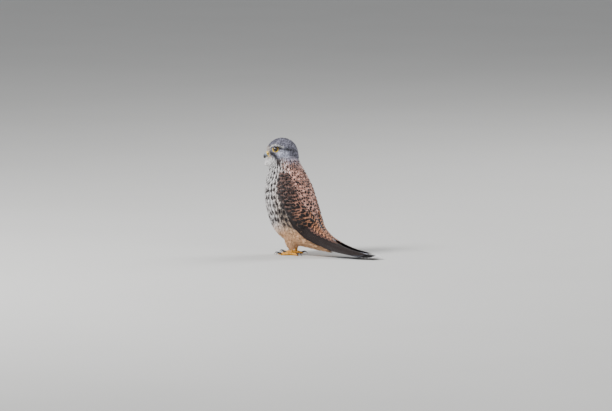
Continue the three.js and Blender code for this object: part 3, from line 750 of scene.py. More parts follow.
def side_angle(degrees):
    """Angle from the middle of the back, the same on both sides: 0 to 180."""
    d = np.asarray(degrees) % 360
    return np.where(d > 180, 360 - d, d)


def under_the_wing(t, degrees):
    """True for roots that the folded wings hide."""
    a = side_angle(degrees)
    margin = mix(10, 4, smooth((t - 0.36) / 0.06))
    return (t > 0.13) & (t < 0.62) & (a < wing_edge(t, 1) - margin) & (a > wing_edge(t, 2) + 10)


def body_tint(t, degrees):
    """The body's base colour by place: grey nape with a ragged edge, rufous mantle, a rump of the tail's grey
    darkened as painted shadow of the gap between the folded wings, pale throat and breast, buff flanks, peach
    belly."""
    a = side_angle(degrees)
    grey, mantle, cream, buff, peach = (colour(c) for c in ("grey", "mantle", "cream", "buff", "peach"))
    wave = np.sin(np.radians(degrees) * 47 + 2 * np.sin(t * 90)) * (1 - smooth((t - 0.09) / 0.06))
    ragged = t - 0.022 * (1 + wave)
    # The rump's last stop is the tail's grey darkened to less than half: painted shadow in the gap between
    # the folded wings.
    back = blend(ragged, (0.004, grey), (0.04, mantle), (0.42, mantle), (0.47, colour("tail") * 0.45))
    front = blend(t, (0.15, colour("white")), (0.27, cream), (0.36, cream), (0.44, peach))
    flank = blend(t, (0.0, mix(grey, cream, 0.5)), (0.07, cream), (0.3, mix(cream, buff, 0.6)), (0.42, buff),
                  (0.48, peach))
    side = smooth((a + 20 * wave - mix(62, 48, smooth(t / 0.2))) / 22)[..., None]
    return mix(mix(back, flank, side), front, smooth((a - 88) / 32)[..., None])


def breast_paint(points, t, degrees):
    """Base colour with dark drops and fine dark lines, which thin out over the belly and blur on the
    flanks, and the lower end of the moustache."""
    a = side_angle(degrees)
    shown = 1 - smooth((t - 0.36 - 0.04 * smooth((110 - a) / 25)) / 0.05)
    flank = smooth((112 - a) / 18) * smooth((t - 0.24) / 0.08) * shown
    blotch = smooth((np.sin(t * 260 + 2 * np.sin(a * 0.35)) * np.sin(a * 0.62 + t * 40) - 0.1) / 0.5)
    dark = np.maximum(drops(t, degrees) * shown, flank * mix(0.3, 0.85, blotch))
    streak = np.sin(np.radians((degrees - 180) * 360 / DROP_COLUMN - 90) + 0.9 * np.sin(t * 31))
    lines = mix(0.65, 0.55, smooth((t - 0.05) / 0.12)) * shown * smooth((streak - 0.45) / 0.5)
    p = on_left(to_head(points))
    stripe = near_line(p[..., 0], p[..., 2], MOUSTACHE, MOUSTACHE_WIDTH) * smooth((p[..., 1] - 7) / 4)
    dark = np.clip(dark + lines + stripe, 0, 1)
    return mix(body_tint(t, degrees), colour("umber"), dark[..., None])


def near_line(f, u, places, width):
    """1 on a line of places in the head's side view, falling off by the width."""
    best = np.full(np.shape(f), 1e9)
    for (f0, u0), (f1, u1) in zip(places[:-1], places[1:]):
        long = (f1 - f0) ** 2 + (u1 - u0) ** 2
        k = np.clip(((f - f0) * (f1 - f0) + (u - u0) * (u1 - u0)) / long, 0, 1)
        best = np.minimum(best, (f - f0 - k * (f1 - f0)) ** 2 + (u - u0 - k * (u1 - u0)) ** 2)
    return np.exp(-best / width ** 2)


# Lines of the face, as places forwards and up in the head's frame
BROW = [(20, 12.4), (14, 15.2), (6.3, 16.6), (-1, 13.2), (-8, 9.5)]
EYE_BAND = [(0, 9.5), (-8, 6.5), (-22, 2)]
MOUSTACHE = [(18, 2), (13, -0.5), (8.5, -5), (6, -11), (4.5, -19)]
MOUSTACHE_WIDTH = 4.0
CHEEK = [(-3, -1), (-9, -4)]
ROUND_THE_EYE = [(8, 8), (3, 8)]


def head_tint(p):
    """The head's colours by place in its own frame: streaked grey crown and nape, pale brow and cheek, a
    white throat brightened by painted light, a dark band behind the eye and a dark moustache below it."""
    f, l, u = p[..., 0], np.abs(p[..., 1]), p[..., 2]
    grey, pale, slate, white = colour("grey"), colour("pale_grey"), colour("slate"), colour("white")
    tint = mix(pale * 0.8, grey, smooth((u - 8) / 5)[..., None])
    tint = mix(tint, grey, smooth((-f - 12) / 7)[..., None])
    forehead = smooth((f - 15) / 6) * smooth((18 - u) / 5)
    tint = mix(tint, mix(white, colour("buff"), 0.45), forehead[..., None])
    tint = mix(tint, pale * 1.15, near_line(f, u, CHEEK, 7.5)[..., None])
    throat = smooth((-u - 5.5) / 4) * smooth((f - 3 - 0.3 * (l - 8)) / 5)
    # The throat is white, painted a little brighter than the white setting: painted light that lifts its
    # shade.
    tint = mix(tint, white * 1.08, throat[..., None])
    neck = smooth((-u - 9) / 6) * (1 - throat) * smooth((f + 18) / 8)
    tint = mix(tint, mix(white, pale, 0.4), neck[..., None])
    outer = smooth((l - 7) / 4)
    tint = mix(tint, white, (0.9 * near_line(f, u, BROW, 1.6) * outer)[..., None])
    dark = 0.85 * near_line(f, u, EYE_BAND, 3.0) + 1.1 * near_line(f, u, MOUSTACHE, MOUSTACHE_WIDTH)
    around = near_line(f, u, ROUND_THE_EYE, 6.2) * 0.75
    return mix(tint, slate, np.clip((dark + around) * outer, 0, 1)[..., None])


def head_streaks(p):
    """Fine dark streaks along the lie of the crown, nape and neck sides."""
    f, l, u = p[..., 0], p[..., 1], p[..., 2]
    around = np.degrees(np.arctan2(l, u + 6))
    wave = np.sin(np.radians(around) * 26 + 2.5 * np.sin(f * 0.45)) * np.sin(f * 0.85 + around * 0.33)
    clear = smooth((f - 4) / 8) * smooth((-u - 3) / 4)
    back = smooth((-f - 4) / 12) + smooth((u - 11) / 5) + smooth((-u - 10) / 6) + 0.35
    plain = clear + near_line(f, u, BROW, 2.4)
    return smooth((wave + 0.1) / 0.4) * np.clip(back, 0, 1) * np.clip(1 - plain, 0, 1)


def head_paint(points, along, degrees):
    """The head's colours, darkened along the streaks."""
    p = to_head(points)
    return head_tint(p) * (1 - 0.72 * head_streaks(p))[..., None]


# Materials

class Nodes:
    """Short hand for building a material: each call adds nodes and returns an output."""

    def __init__(self, name):
        self.material = bpy.data.materials.new(name)
        self.material.use_nodes = True
        self.tree = self.material.node_tree
        self.shader = self.tree.nodes["Principled BSDF"]

    def add(self, kind, output=0, values=None, **settings):
        """A node with its settings and with the values or links of its sockets."""
        node = self.tree.nodes.new(kind)
        for key, value in settings.items():
            setattr(node, key, value)
        for socket, value in (values or {}).items():
            if isinstance(value, bpy.types.NodeSocket):
                self.tree.links.new(value, node.inputs[socket])
            else:
                node.inputs[socket].default_value = value
        return node.outputs[output]

    def layer(self, name, output=0):
        """A colour layer of the mesh; output 3 is its fourth value."""
        return self.add("ShaderNodeAttribute", output=output, attribute_name=name)

    def math(self, operation, a, b=0.0):
        return self.add("ShaderNodeMath", operation=operation, values={0: a, 1: b})

    def plus(self, first, *others):
        for other in others:
            first = self.math("ADD", first, other)
        return first

    def times(self, a, b):
        return self.math("MULTIPLY", a, b)

    def mix(self, factor, a, b, blend_type="MIX"):
        return self.add("ShaderNodeMix", output=2, data_type="RGBA", blend_type=blend_type,
                        values={0: factor, 6: a, 7: b})

    def ramp(self, value, low, high):
        """0 below low, 1 above high, eased between."""
        return self.add("ShaderNodeMapRange", interpolation_type="SMOOTHSTEP",
                        values={0: value, 1: low, 2: high, 3: 0.0, 4: 1.0})

    def fall(self, value, low, high):
        """1 below low, 0 above high, eased between."""
        return self.math("SUBTRACT", 1.0, self.ramp(value, low, high))

    def parts(self, kind, source):
        """All outputs of a node that splits a vector or a colour."""
        node = self.tree.nodes.new(kind)
        self.tree.links.new(source, node.inputs[0])
        return node.outputs

    def noise(self, scale, detail=3.0):
        """Noise in the object's own coordinates, 0 to 1."""
        return self.add("ShaderNodeTexNoise", values={
            "Vector": self.add("ShaderNodeTexCoord", output=3), "Scale": scale, "Detail": detail})

    def about_zero(self, noise, amount):
        """Noise as an amount up or down."""
        return self.times(self.math("SUBTRACT", noise, 0.5), amount)

    def brightened(self, colour_in, amount):
        """A colour times one plus the amount."""
        factor = self.plus(amount, 1.0)
        grey = self.add("ShaderNodeCombineColor", values={0: factor, 1: factor, 2: factor})
        return self.mix(1.0, colour_in, grey, "MULTIPLY")

    def vane_places(self):
        """Places on a feather: along from its root, and off its shaft, 0 to 0.5."""
        across, along, _ = self.parts("ShaderNodeSeparateXYZ", self.add("ShaderNodeUVMap", uv_map="VaneUV"))
        return along, self.math("ABSOLUTE", self.math("SUBTRACT", across, 0.5))

    def shaft(self, off, amount):
        """The dark line of the shaft."""
        return self.times(self.fall(off, 0.0, 0.03), -amount)

    def finish(self, base, bump, strength, distance, **inputs):
        """Link the colour and the relief, and set the shader's plain values by name."""
        self.tree.links.new(base, self.shader.inputs["Base Color"])
        if strength:
            relief = self.add("ShaderNodeBump",
                              values={"Strength": strength, "Distance": distance, "Height": bump})
            self.tree.links.new(relief, self.shader.inputs["Normal"])
        for key, value in inputs.items():
            self.shader.inputs[key.replace("_", " ")].default_value = value
        return self.material


def feather_material(name, roughness=0.65, fringe=0.3, barbs=60.0, shaft=0.0, edge=0.38, sheen=0.1):
    """Plumage: each feather's own tint, a mark of its own shape, a paler fringe and fine slanting barbs.

    The layer spot holds the mark's middle along the vane, half its length and half its width, and for
    barred feathers how many bars."""
    n = Nodes(name)
    along, off = n.vane_places()
    middle, half_length, half_width = n.parts("ShaderNodeSeparateColor", n.layer("spot"))
    bars = n.layer("spot", output=3)
    ragged = n.about_zero(n.noise(700.0), 0.6)
    reach = n.math("DIVIDE", n.math("ABSOLUTE", n.math("SUBTRACT", along, middle)), half_length)
    aside = n.math("DIVIDE", off, half_width)
    shape = n.plus(n.math("POWER", reach, 1.8), n.math("POWER", aside, 1.8), ragged)
    single = n.fall(shape, 0.8, 1.15)
    turns = n.times(bars, 2 * math.pi)
    wave = n.math("SINE", n.times(n.plus(along, middle, n.times(off, -0.12)), turns))
    banded = n.ramp(n.plus(wave, ragged), -0.35, 0.0)
    marked = n.mix(n.math("GREATER_THAN", bars, 0.5), single, banded)
    base = n.mix(marked, n.layer("tint"), n.layer("mark"))
    fine = n.math("SINE", n.times(n.plus(along, n.times(off, -0.9)), barbs * 2 * math.pi))
    shade = n.plus(n.about_zero(n.noise(260.0, 4.0), 0.45), n.times(fine, 0.05),
                   n.times(n.ramp(off, edge, 0.495), fringe), n.times(n.fall(along, 0.0, 0.45), -0.4),
                   n.shaft(off, shaft))
    return n.finish(n.brightened(base, shade), fine, 0.22, 0.0002, Roughness=roughness,
                    Specular_IOR_Level=0.18, Sheen_Weight=sheen, Sheen_Roughness=0.5)


def down_material():
    """The down under the feathers: the plumage's own colours, darkened, with a fine fluff."""
    n = Nodes("down")
    fluff = n.noise(700.0, 5.0)
    base = n.mix(n.times(fluff, 0.8), n.layer("tint"), (0.08, 0.06, 0.055, 1))
    return n.finish(base, fluff, 0.6, 0.0006, Roughness=0.85)


def tail_material():
    """Tail vanes: blue grey, with a broad black bar before the white tip."""
    n = Nodes("tail_vanes")
    along, off = n.vane_places()
    noise = n.noise(700.0)
    along = n.plus(along, n.about_zero(noise, 0.012))
    bar = n.times(n.ramp(along, 0.785, 0.8), n.fall(along, 0.925, 0.935))
    base = n.mix(bar, (*colour("tail"), 1), (*colour("black"), 1))
    base = n.mix(n.ramp(along, 0.93, 0.942), base, (*colour("white"), 1))
    fine = n.math("SINE", n.times(n.plus(along, n.times(off, -0.2)), 900.0))
    shade = n.plus(n.times(fine, 0.05), n.about_zero(noise, 0.35), n.shaft(off, 0.4))
    return n.finish(n.brightened(base, shade), fine, 0.2, 0.0002, Roughness=0.5, Specular_IOR_Level=0.3)


def bare_material(name, tones, roughness, bump=0.0, scale=800.0, coat=0.0):
    """Horn or bare skin: two close tones in a fine noise with a matching relief. Without tones, its
    colours come from the layer tint."""
    n = Nodes(name)
    noise = n.noise(scale, 4.0)
    if tones is None:
        base = n.brightened(n.layer("tint"), n.about_zero(noise, 0.5))
    else:
        base = n.mix(n.ramp(noise, 0.35, 0.7), *((*tone, 1) for tone in tones))
    return n.finish(base, noise, bump, 0.0003, Roughness=roughness, Coat_Weight=coat, Coat_Roughness=0.05)


def skin_tones(name, darker):
    """A colour of the settings and a darker one."""
    return colour(name), colour(name) * darker


# The pieces

# The skin's mesh, and how much of the coat's depth it is sunk below the head's and the legs' surface
SKIN = {"sides": 96, "voxel": 1.1, "relax": 0.5, "rounds": 4, "head_sunk": 0.55, "leg_sunk": 0.6}


def build_skin():
    """The skin that the feathers grow from: torso, neck, head and thighs as lofts sunk below the plumage,
    fused by a voxel remesh and smoothed, and coloured by place."""
    ring = np.linspace(0, 360, SKIN["sides"], endpoint=False)
    depth = size("coat_depth")
    lofts = [body(np.linspace(0.0, TORSO_ENDS_AT, 90)[:, None], ring[None], -depth),
             head(np.linspace(0.03, 0.97, 60)[:, None], ring[None], -depth * SKIN["head_sunk"])]
    lofts += [thigh(side)(np.linspace(0, 1, 30)[:, None], ring[None, ::2], -depth * SKIN["leg_sunk"])
              for side in SIDES.values()]
    piece = loft_object("skin", lofts, down_material())
    fused = piece.modifiers.new("fuse", "REMESH")
    fused.mode = "VOXEL"
    fused.voxel_size = SKIN["voxel"] * MM
    fused.use_smooth_shade = True
    relaxed = piece.modifiers.new("relax", "SMOOTH")
    relaxed.factor = SKIN["relax"]
    relaxed.iterations = SKIN["rounds"]
    apply_modifiers(piece)
    co = np.empty(len(piece.data.vertices) * 3, np.float32)
    piece.data.vertices.foreach_get("co", co)
    add_colours(piece.data, "tint", skin_tint(co.reshape(-1, 3) / MM - SHIFT))
    place(piece, "body_feathers", "torso", "neck", "head", "thigh_left", "thigh_right")


def body_places(p):
    """Nearest station and angle round the body of points: the station whose plane lies closest."""
    stations = np.linspace(0, TORSO_ENDS_AT, 160)
    centre, back, depth, width = section(stations)
    normal = np.column_stack([back[:, 2], np.zeros(len(back)), -back[:, 0]])
    height = np.einsum("nk,sk->ns", p, normal) - np.einsum("sk,sk->s", centre, normal)[None]
    near = np.argmin(np.abs(height), axis=1)
    off = p - centre[near]
    out = np.einsum("nk,nk->n", off, back[near]) / depth[near]
    return stations[near], np.degrees(np.arctan2(-off[:, 1] / width[near], out))


# The height from which the skin takes the head's colours
HEAD_ABOVE = 166


def skin_tint(p):
    """Colours of the skin's points, by the same rules as the feathers over them."""
    t, degrees = body_places(p)
    front = smooth((side_angle(degrees) - 60) / 10)[..., None]
    below = mix(body_tint(t, degrees), breast_paint(p, t, degrees), front)
    return np.where((p[:, 2] > HEAD_ABOVE)[:, None], head_tint(to_head(p)), below)


# How deep in millimetres a root may lie in the neighbour's plumage
ROOT_DEPTH = 3


def build_breast_coat(material):
    """Neck, breast, flanks, belly and vent: soft pale strands, painted with dark drops. Those along the
    wing's lower edge stand out over it."""
    rng = np.random.default_rng(SEED + 1)

    def keep(t, a):
        beside = side_angle(a) > mix(56, 66, smooth(t / 0.2))
        return beside & ~under_the_wing(t, a) & (head_depth(body(t, a)) < ROOT_DEPTH)

    gap = size("breast_gap")
    u, v = rows_of_roots(long_body, 0.0, 0.655, (gap * 1.1, gap * 1.85), (gap * 0.75, gap), rng, keep)
    a = side_angle(v)
    length = np.interp(u, [0, 0.1, 0.3, 0.45, 0.65], [7, 10, 14, 16, 20]) * rng.uniform(0.85, 1.15, len(u))
    width = np.interp(u, [0, 0.2, 0.5], [1.7, 2.7, 2.9]) * rng.uniform(0.8, 1.2, len(u))
    over = smooth((wing_edge(u, 1) + 12 - a) / 12) * smooth((u - 0.12) / 0.05) * smooth((0.5 - u) / 0.06)
    tip = rng.uniform(-0.3, 0.7, len(u)) + 2.2 * over
    shape = plumes(long_body, u, v, length, width, -size("coat_depth") + 0.4, tip, rng, breast_paint, lean=5,
                   rows=6, thick=0.14, tip=0.55, ring=STRAND_RING, area=AREAS["body"])
    place(make_object("breast_coat", shape, material), "body_feathers")


def back_paint(points, t, degrees):
    """The back's colours have no pattern: its spots are marks of the feathers."""
    return body_tint(t, degrees)


def build_back_coat(material):
    """Nape, mantle, scapulars and rump: pinkish rufous feathers with black spots, grey on the nape, and on
    the rump a darkened grey that is painted shadow between the wings. Those along the wing's upper edge lie
    over it."""
    rng = np.random.default_rng(SEED + 3)

    def keep(t, a):
        edge = wing_edge(np.maximum(t, 0.1), 2) + mix(13, -5, smooth((t - 0.36) / 0.07))
        return (side_angle(a) <= np.where(t < 0.1, 62, edge)) & (head_depth(body(t, a)) < ROOT_DEPTH)

    gap = size("mantle_gap")
    u, v = rows_of_roots(long_body, 0.0, 0.6, (gap * 0.6, gap * 1.3), (gap * 0.55, gap * 1.15), rng, keep)
    count = len(u)
    length = np.interp(u, [0, 0.1, 0.4, 0.6], [7, 11, 21, 24]) * rng.uniform(0.9, 1.1, count)
    width = length * np.interp(u, [0, 0.1, 0.4], [0.42, 0.5, 0.54])
    near_edge = smooth((side_angle(v) - wing_edge(np.maximum(u, 0.1), 2) + 14) / 16)
    over = near_edge * smooth((u - 0.09) / 0.05) * (1 - smooth((u - 0.34) / 0.06))
    mantle = smooth((u - 0.01) / 0.03) * (1 - smooth((u - 0.44) / 0.05))
    spotted = rng.uniform(0, 1, count) < 0.75 * mantle
    grown = smooth((u - 0.04) / 0.1)
    wide = rng.uniform(0.8, 1.3, count)
    spots = np.column_stack([rng.uniform(0.74, 0.82, count), mix(0.27, 0.14, grown) * wide,
                             mix(0.24, 0.31, grown) * wide, np.zeros(count)])
    shape = plumes(long_body, u, v, length, width, -size("coat_depth") + 1.4 * over, 0.5 + 2.4 * over, rng,
                   back_paint, lean=4, rows=8, mark=colour("black"), area=AREAS["body"], vary=0.1,
                   spot=np.where(spotted[:, None], spots, NO_SPOT))
    place(make_object("back_coat", shape, material), "body_feathers")


# Where no feather grows: round the eye, by a middle against the eye's and a radius, and round the bill
EYE_CLEAR = {"f": 0.3, "l": 3.5, "u": -1.7, "radius": 6.1}
BILL_CLEAR = 6


def build_head_coat(material):
    """Small close feathers from the bill over the head to the neck, raised on the brow and puffed on the
    throat."""
    rng = np.random.default_rng(SEED + 5)

    def keep(along, a):
        here = head(along, a)
        p = to_head(here)
        eye = np.linalg.norm(on_left(p) - [EYE[c] + EYE_CLEAR[c] for c in "flu"], axis=-1)
        bill = np.linalg.norm(p - BILL["root"], axis=-1)
        return (eye > EYE_CLEAR["radius"]) & (bill > BILL_CLEAR) & (neck_depth(here) < ROOT_DEPTH)

    gap = size("head_gap")
    u, v = rows_of_roots(head, 0.05, 0.96, (gap, gap * 1.35), (gap * 0.9, gap * 1.1), rng, keep)
    here = to_head(head(u, v))
    far = np.linalg.norm(here - BILL["root"], axis=1)
    length = np.interp(far, [6, 16, 45], [2.0, 4.2, 8.0]) * rng.uniform(0.8, 1.2, len(u))
    puffed = smooth((-here[:, 2] - 6) / 6) * smooth((here[:, 0] - 4) / 6)
    brow = np.exp(-((here[:, 2] - EYE["u"] - 7.5) / 3.5) ** 2 - ((here[:, 0] - EYE["f"] - 1) / 9) ** 2)
    brow *= smooth((np.abs(here[:, 1]) - 10) / 3)
    tip = rng.uniform(0, 0.5, len(u)) + 0.6 * puffed + 1.7 * brow
    shape = plumes(head, u, v, length * (1 + 0.5 * puffed), length * 0.36, -1.4 + 1.2 * brow, tip, rng,
                   head_paint, lean=7, rows=6, thick=0.1, tip=0.5, ring=STRAND_RING, area=AREAS["head"])
    place(make_object("head_coat", shape, material), "head_feathers")


def leg_paint(points, along, degrees):
    """The plain colour of the legs."""
    return np.broadcast_to(colour("peach"), points.shape)


def build_thigh_coat(material):
    """The trousers: long soft plain strands down each leg, cut level at the hem."""
    shapes = []
    for name, side in SIDES.items():
        rng = np.random.default_rng(SEED + 8 + side)
        gap = size("leg_gap")
        u, v = rows_of_roots(thigh(side), 0.02, 0.9, (gap * 2, gap * 1.6), (gap * 1.2, gap), rng)
        length = np.minimum(rng.uniform(10, 15, len(u)), (1.12 - u) * (THIGH["top_z"] - THIGH["bottom_z"]))
        width = rng.uniform(1.6, 2.4, len(u))
        tip = rng.uniform(-0.3, 0.6, len(u))
        shapes.append(plumes(thigh(side), u, v, length, width, -2.2, tip, rng, leg_paint, lean=6, rows=6,
                             tip=0.6, ring=STRAND_RING, area=AREAS["leg_" + name]))
    place(make_object("thigh_coat", joined(shapes), material), "leg_feathers")


# The large feathers: points along each, the bend of the wing's vanes, and the shaft's height and width
VANE_ROWS = 34
VANE_BEND = 1 / 60
SHAFT = {"high": 0.34, "wide": 0.55}


def long_vane(place_at, shares, half_widths, thickness, columns=9):
    """One large feather: rings of a thin curved section with a raised shaft, along given shares.
    place_at(shares) gives centres, side directions, out directions and the section's bend."""
    centre, side, out, bend = place_at(shares)
    x = np.linspace(-1, 1, columns)
    across = half_widths[:, None] * x[None]
    drop = -bend[:, None] * across ** 2
    fading = np.linspace(1, 0.25, len(shares))[:, None]
    shaft = SHAFT["high"] * np.exp(-(across / SHAFT["wide"]) ** 2) * fading
    edge = thickness * np.sqrt(np.clip(1 - (0.86 * x[None]) ** 2, 0, 1))
    middle = centre[:, None] + side[:, None] * across[..., None]
    top = middle + out[:, None] * (drop + edge / 2 + shaft)[..., None]
    low = middle + out[:, None] * (drop - edge / 2)[..., None]
    return np.concatenate([top, low[:, ::-1]], axis=1), np.concatenate([0.5 + 0.5 * x, 0.5 + 0.5 * x[::-1]])


def wing_place(reach, tilt, rise):
    """Where a wing feather lies: its middle, its side towards the leading edge and out of the plumage,
    tilted so that the feather above lies over it."""

    def at(t):
        centre = wing(t, reach, rise)
        ahead = wing(t + SMALL_STEP, reach, rise) - centre
        lower = wing(t, reach - 1.0, rise) - centre
        ahead /= np.linalg.norm(ahead, axis=1, keepdims=True)
        out = np.cross(ahead, lower)
        out /= np.linalg.norm(out, axis=1, keepdims=True)
        inward = section(t)[0] - centre
        out = np.where((np.einsum("ij,ij->i", out, inward) > 0)[:, None], -out, out)
        across = lower - ahead * np.einsum("ij,ij->i", lower, ahead)[:, None]
        across /= np.linalg.norm(across, axis=1, keepdims=True)
        lean = math.hypot(1, tilt)
        return centre, (across + out * tilt) / lean, (out - across * tilt) / lean, np.full(len(t), VANE_BEND)

    return at


def vane_shape(rings, u, shares, tint, spot, patch):
    """One large feather as a shape with its layers. patch is its rectangle on the bake map."""
    shape = closed_loft(rings)
    down = (shares - shares[0]) / (shares[-1] - shares[0])
    uv = np.vstack([together(u[None], down[:, None]).reshape(-1, 2), [0.5, 0], [0.5, 1]])
    count = len(shape["points"])
    return {**shape, "uv": uv, "baked": patch[:2] + uv * patch[2:], "tint": np.tile(tint, (count, 1)),
            "mark": np.tile(colour("black"), (count, 1)), "spot": np.tile(spot, (count, 1))}


def tip_profile(t, root, tip, half, round_length, point=0.16):
    """Half widths of a vane: full from near its root, closing to a rounded tip."""
    back = np.clip((tip - t) * AXIS_LENGTH / round_length, 0, 1)
    return half * np.sqrt(np.clip(1 - (1 - back) ** 2.2, point ** 2, 1)) * np.clip(0.6 + 6 * (t - root), 0, 1)


def vane_shares(root, tip, rows):
    """Shares along a vane, closer together towards its tip."""
    return root + (tip - root) * (1 - (1 - np.linspace(0, 1, rows)) ** 1.6)


# The flight feathers, from the leading edge up: primaries, secondaries, then the innermost ones
FLIGHTS = {
    "tips": [0.905, 0.93, 0.925, 0.905, 0.88, 0.852, 0.825, 0.795, 0.768, 0.742,
             0.716, 0.702, 0.69, 0.678, 0.666, 0.652, 0.636, 0.617, 0.597, 0.575],
    "primaries": 10, "innermost": 13, "first": 1.2, "spacing": 2.1, "half": 4.6, "root": 0.34, "rise": 2.0,
    "bar_every": 9.0, "long_tip": 22, "short_tip": 12, "tilt": 0.55,
}


def build_flights(material):
    """Primaries, secondaries and innermost feathers of both wings, stacked from the leading edge up."""
    rng = np.random.default_rng(SEED + 20)
    root = FLIGHTS["root"]
    shapes = []
    for i, tip in enumerate(FLIGHTS["tips"]):
        reach = FLIGHTS["first"] + FLIGHTS["spacing"] * i
        shares = vane_shares(root, tip, VANE_ROWS)
        closing = FLIGHTS["long_tip"] if i < FLIGHTS["primaries"] else FLIGHTS["short_tip"]
        half = tip_profile(shares, root, tip, FLIGHTS["half"], closing)
        half = half * mix(1, WING_CLOSES["narrow"], wing_closed(shares))
        at = wing_place(reach, FLIGHTS["tilt"] / FLIGHTS["spacing"], FLIGHTS["rise"])
        rings, u = long_vane(at, shares, half, size("vane_thickness"))
        bars = (tip - root) * AXIS_LENGTH / FLIGHTS["bar_every"]
        if i < FLIGHTS["primaries"]:
            tint, spot = colour("umber") * rng.uniform(0.5, 0.7), NO_SPOT
        elif i < FLIGHTS["innermost"]:
            tint, spot = mix(colour("umber"), colour("rufous"), 0.45), (0.5, 0.1, 0.3, bars)
        else:
            tint, spot = colour("orange") * rng.uniform(0.9, 1.1), (rng.uniform(0, 0.2), 0.1, 0.3, bars)
        shapes.append(vane_shape(rings, u, shares, tint, spot, FLIGHT_PATCH + [0.045 * i, 0, 0, 0]))
    place_both("flights", joined(shapes), material, "wing")


def wing_span(t):
    """Millimetres over the folded wing from its lower to its upper edge."""
    low, high = wing_edge(t, 1), wing_edge(t, 2)
    middle = (low + high) / 2
    return np.linalg.norm(under_wing(t, middle + 0.5) - under_wing(t, middle - 0.5), axis=-1) * (low - high)


def wing_top(t, reach, height=0.0):
    """A point of the wing's own plumage, which swells between its two edges."""
    across = np.clip(2 * reach / wing_span(t) - 1, -1, 1)
    top = np.interp(t, WING_BULK[:, 0], WING_BULK[:, 1])
    return wing(t, reach, height + 0.4 + top * (1 - 0.72 * across ** 4))


# Rows of wing coverts: where their roots are along the middle line, length and spacing in millimetres
COVERTS = [
    (0.094, 8, 1.0), (0.108, 8.5, 1.0), (0.122, 9, 1.0), (0.137, 9.5, 1.05), (0.153, 10, 1.1),
    (0.169, 10.5, 1.1), (0.186, 11, 1.15), (0.203, 12, 1.2), (0.222, 13, 1.3), (0.243, 15, 1.4),
    (0.266, 17, 1.55), (0.291, 19, 1.7), (0.318, 22, 1.9), (0.346, 26, 2.1), (0.374, 28, 2.2),
]


def covert_paint(points, t, reach):
    """Dark along the leading edge and on the shoulder's front, rufous and then orange further in."""
    ground = blend(t, (0.1, mix(colour("rufous"), colour("mantle"), 0.35)), (0.3, colour("rufous") * 0.92),
                   (0.42, colour("orange") * 0.84))
    dark = smooth((23 + 15 * np.exp(-((t - 0.19) / 0.09) ** 2) - reach) / 15)
    edge = smooth((8 - reach) / 4) * smooth((t - 0.16) / 0.05)
    return mix(ground, colour("umber") * 1.2, np.maximum(0.8 * dark, 0.97 * edge)[..., None])


def build_coverts(material):
    """The coverts in staggered rows over the flight feathers' roots, smallest at the shoulder."""
    rng = np.random.default_rng(SEED + 30)
    shapes = []
    for n, (start, length, spread) in enumerate(COVERTS):
        gap = size("covert_gap") * spread
        count = int(wing_span(np.array(start)) / gap) + 1
        v = (np.arange(count) + 0.5 * (n % 2)) * gap + rng.uniform(-0.12, 0.12, count) * gap
        large = smooth((start - 0.2) / 0.15)
        u = start + rng.uniform(-1, 1, count) * mix(0.006, 0.011, large)
        single = np.column_stack([
            rng.uniform(0.64, 0.82, count), 0.2 * rng.uniform(0.8, 1.3, count),
            mix(0.35, 0.4, large) * rng.uniform(0.7, 1.2, count), np.zeros(count)])
        barred = np.column_stack([
            rng.uniform(0.3, 0.7, count), np.full(count, 0.1), np.full(count, 0.3),
            length / 7.5 * rng.uniform(0.75, 1.3, count)])
        has_bars = rng.uniform(0, 1, count) < mix(0.6 * smooth((24 - v) / 8), 0.25, large)
        shapes.append(plumes(
            wing_top, u, v, length * rng.uniform(0.93, 1.07, count), gap * 1.8, -1.8, 0.5, rng, covert_paint,
            lean=3, rows=9, thick=0.18, mark=colour("black"), area=AREAS["coverts"], span=60.0,
            spot=np.where(has_bars[:, None], barred, single), vary=0.12, dome=0.06))
    place_both("coverts", joined(shapes), material)


# Each half of the tail, from the middle out: how much shorter each feather is, and how far aside it lies
TAIL_FEATHERS = {
    "short": [0, 1.5, 4, 8, 14, 22], "middles": [2.6, 7.6, 9, 10.4, 11.8, 13.2], "half": 7.1,
    "layer": 0.9, "root": 0.6, "tip": 11, "point": 0.3,
}


def build_tail(material):
    """Twelve tail feathers, the middle pair on top: grey with a broad black bar and a white tip."""
    root = TAIL_FEATHERS["root"]
    shapes = []
    for side in SIDES.values():
        for i, (short, middle) in enumerate(zip(TAIL_FEATHERS["short"], TAIL_FEATHERS["middles"])):
            layer = 3 - i - (0 if side > 0 and i == 0 else 1)
            tip = 1 - short / AXIS_LENGTH
            shares = vane_shares(root, tip, VANE_ROWS)
            half = tip_profile(shares, root, tip, TAIL_FEATHERS["half"], TAIL_FEATHERS["tip"],
                               TAIL_FEATHERS["point"])

            def at(t, lift=layer * TAIL_FEATHERS["layer"], aside=-side * middle):
                centre, back, _, _ = section(t)
                centre = centre + back * lift + np.array([0, aside, 0])
                return centre, np.tile([0, 1.0, 0], (len(t), 1)), back, np.zeros(len(t))

            rings, u = long_vane(at, shares, half, size("vane_thickness"))
            patch = TAIL_PATCH + [0.08 * (i + 6 * (side < 0)), 0, 0, 0]
            shapes.append(vane_shape(rings, u, shares, colour("tail"), NO_SPOT, patch))
    place(make_object("tail_feathers", joined(shapes), material), "tail_feathers", "tail")


def eye_ring(turn, rows, sides):
    """The ring of bare skin in the eye's own frame: a tube round the eye, full in front and below and
    thin behind and above."""
    around = np.linspace(0, 2 * math.pi, rows, endpoint=False)[:, None]
    tube = np.linspace(0, 2 * math.pi, sides, endpoint=False)
    outwards = np.hstack([np.cos(around), np.sin(around), 0 * around]) @ turn
    full = (outwards @ (in_head(EYE["lid_full_towards"]) - HEAD_CENTRE))[:, None]
    thick = EYE["lid"] * (0.64 + 0.5 * full)
    radius = EYE["ring"] + thick * np.cos(tube)
    return together(radius * np.cos(around), radius * np.sin(around), EYE["lid_plane"] + thick * np.sin(tube))


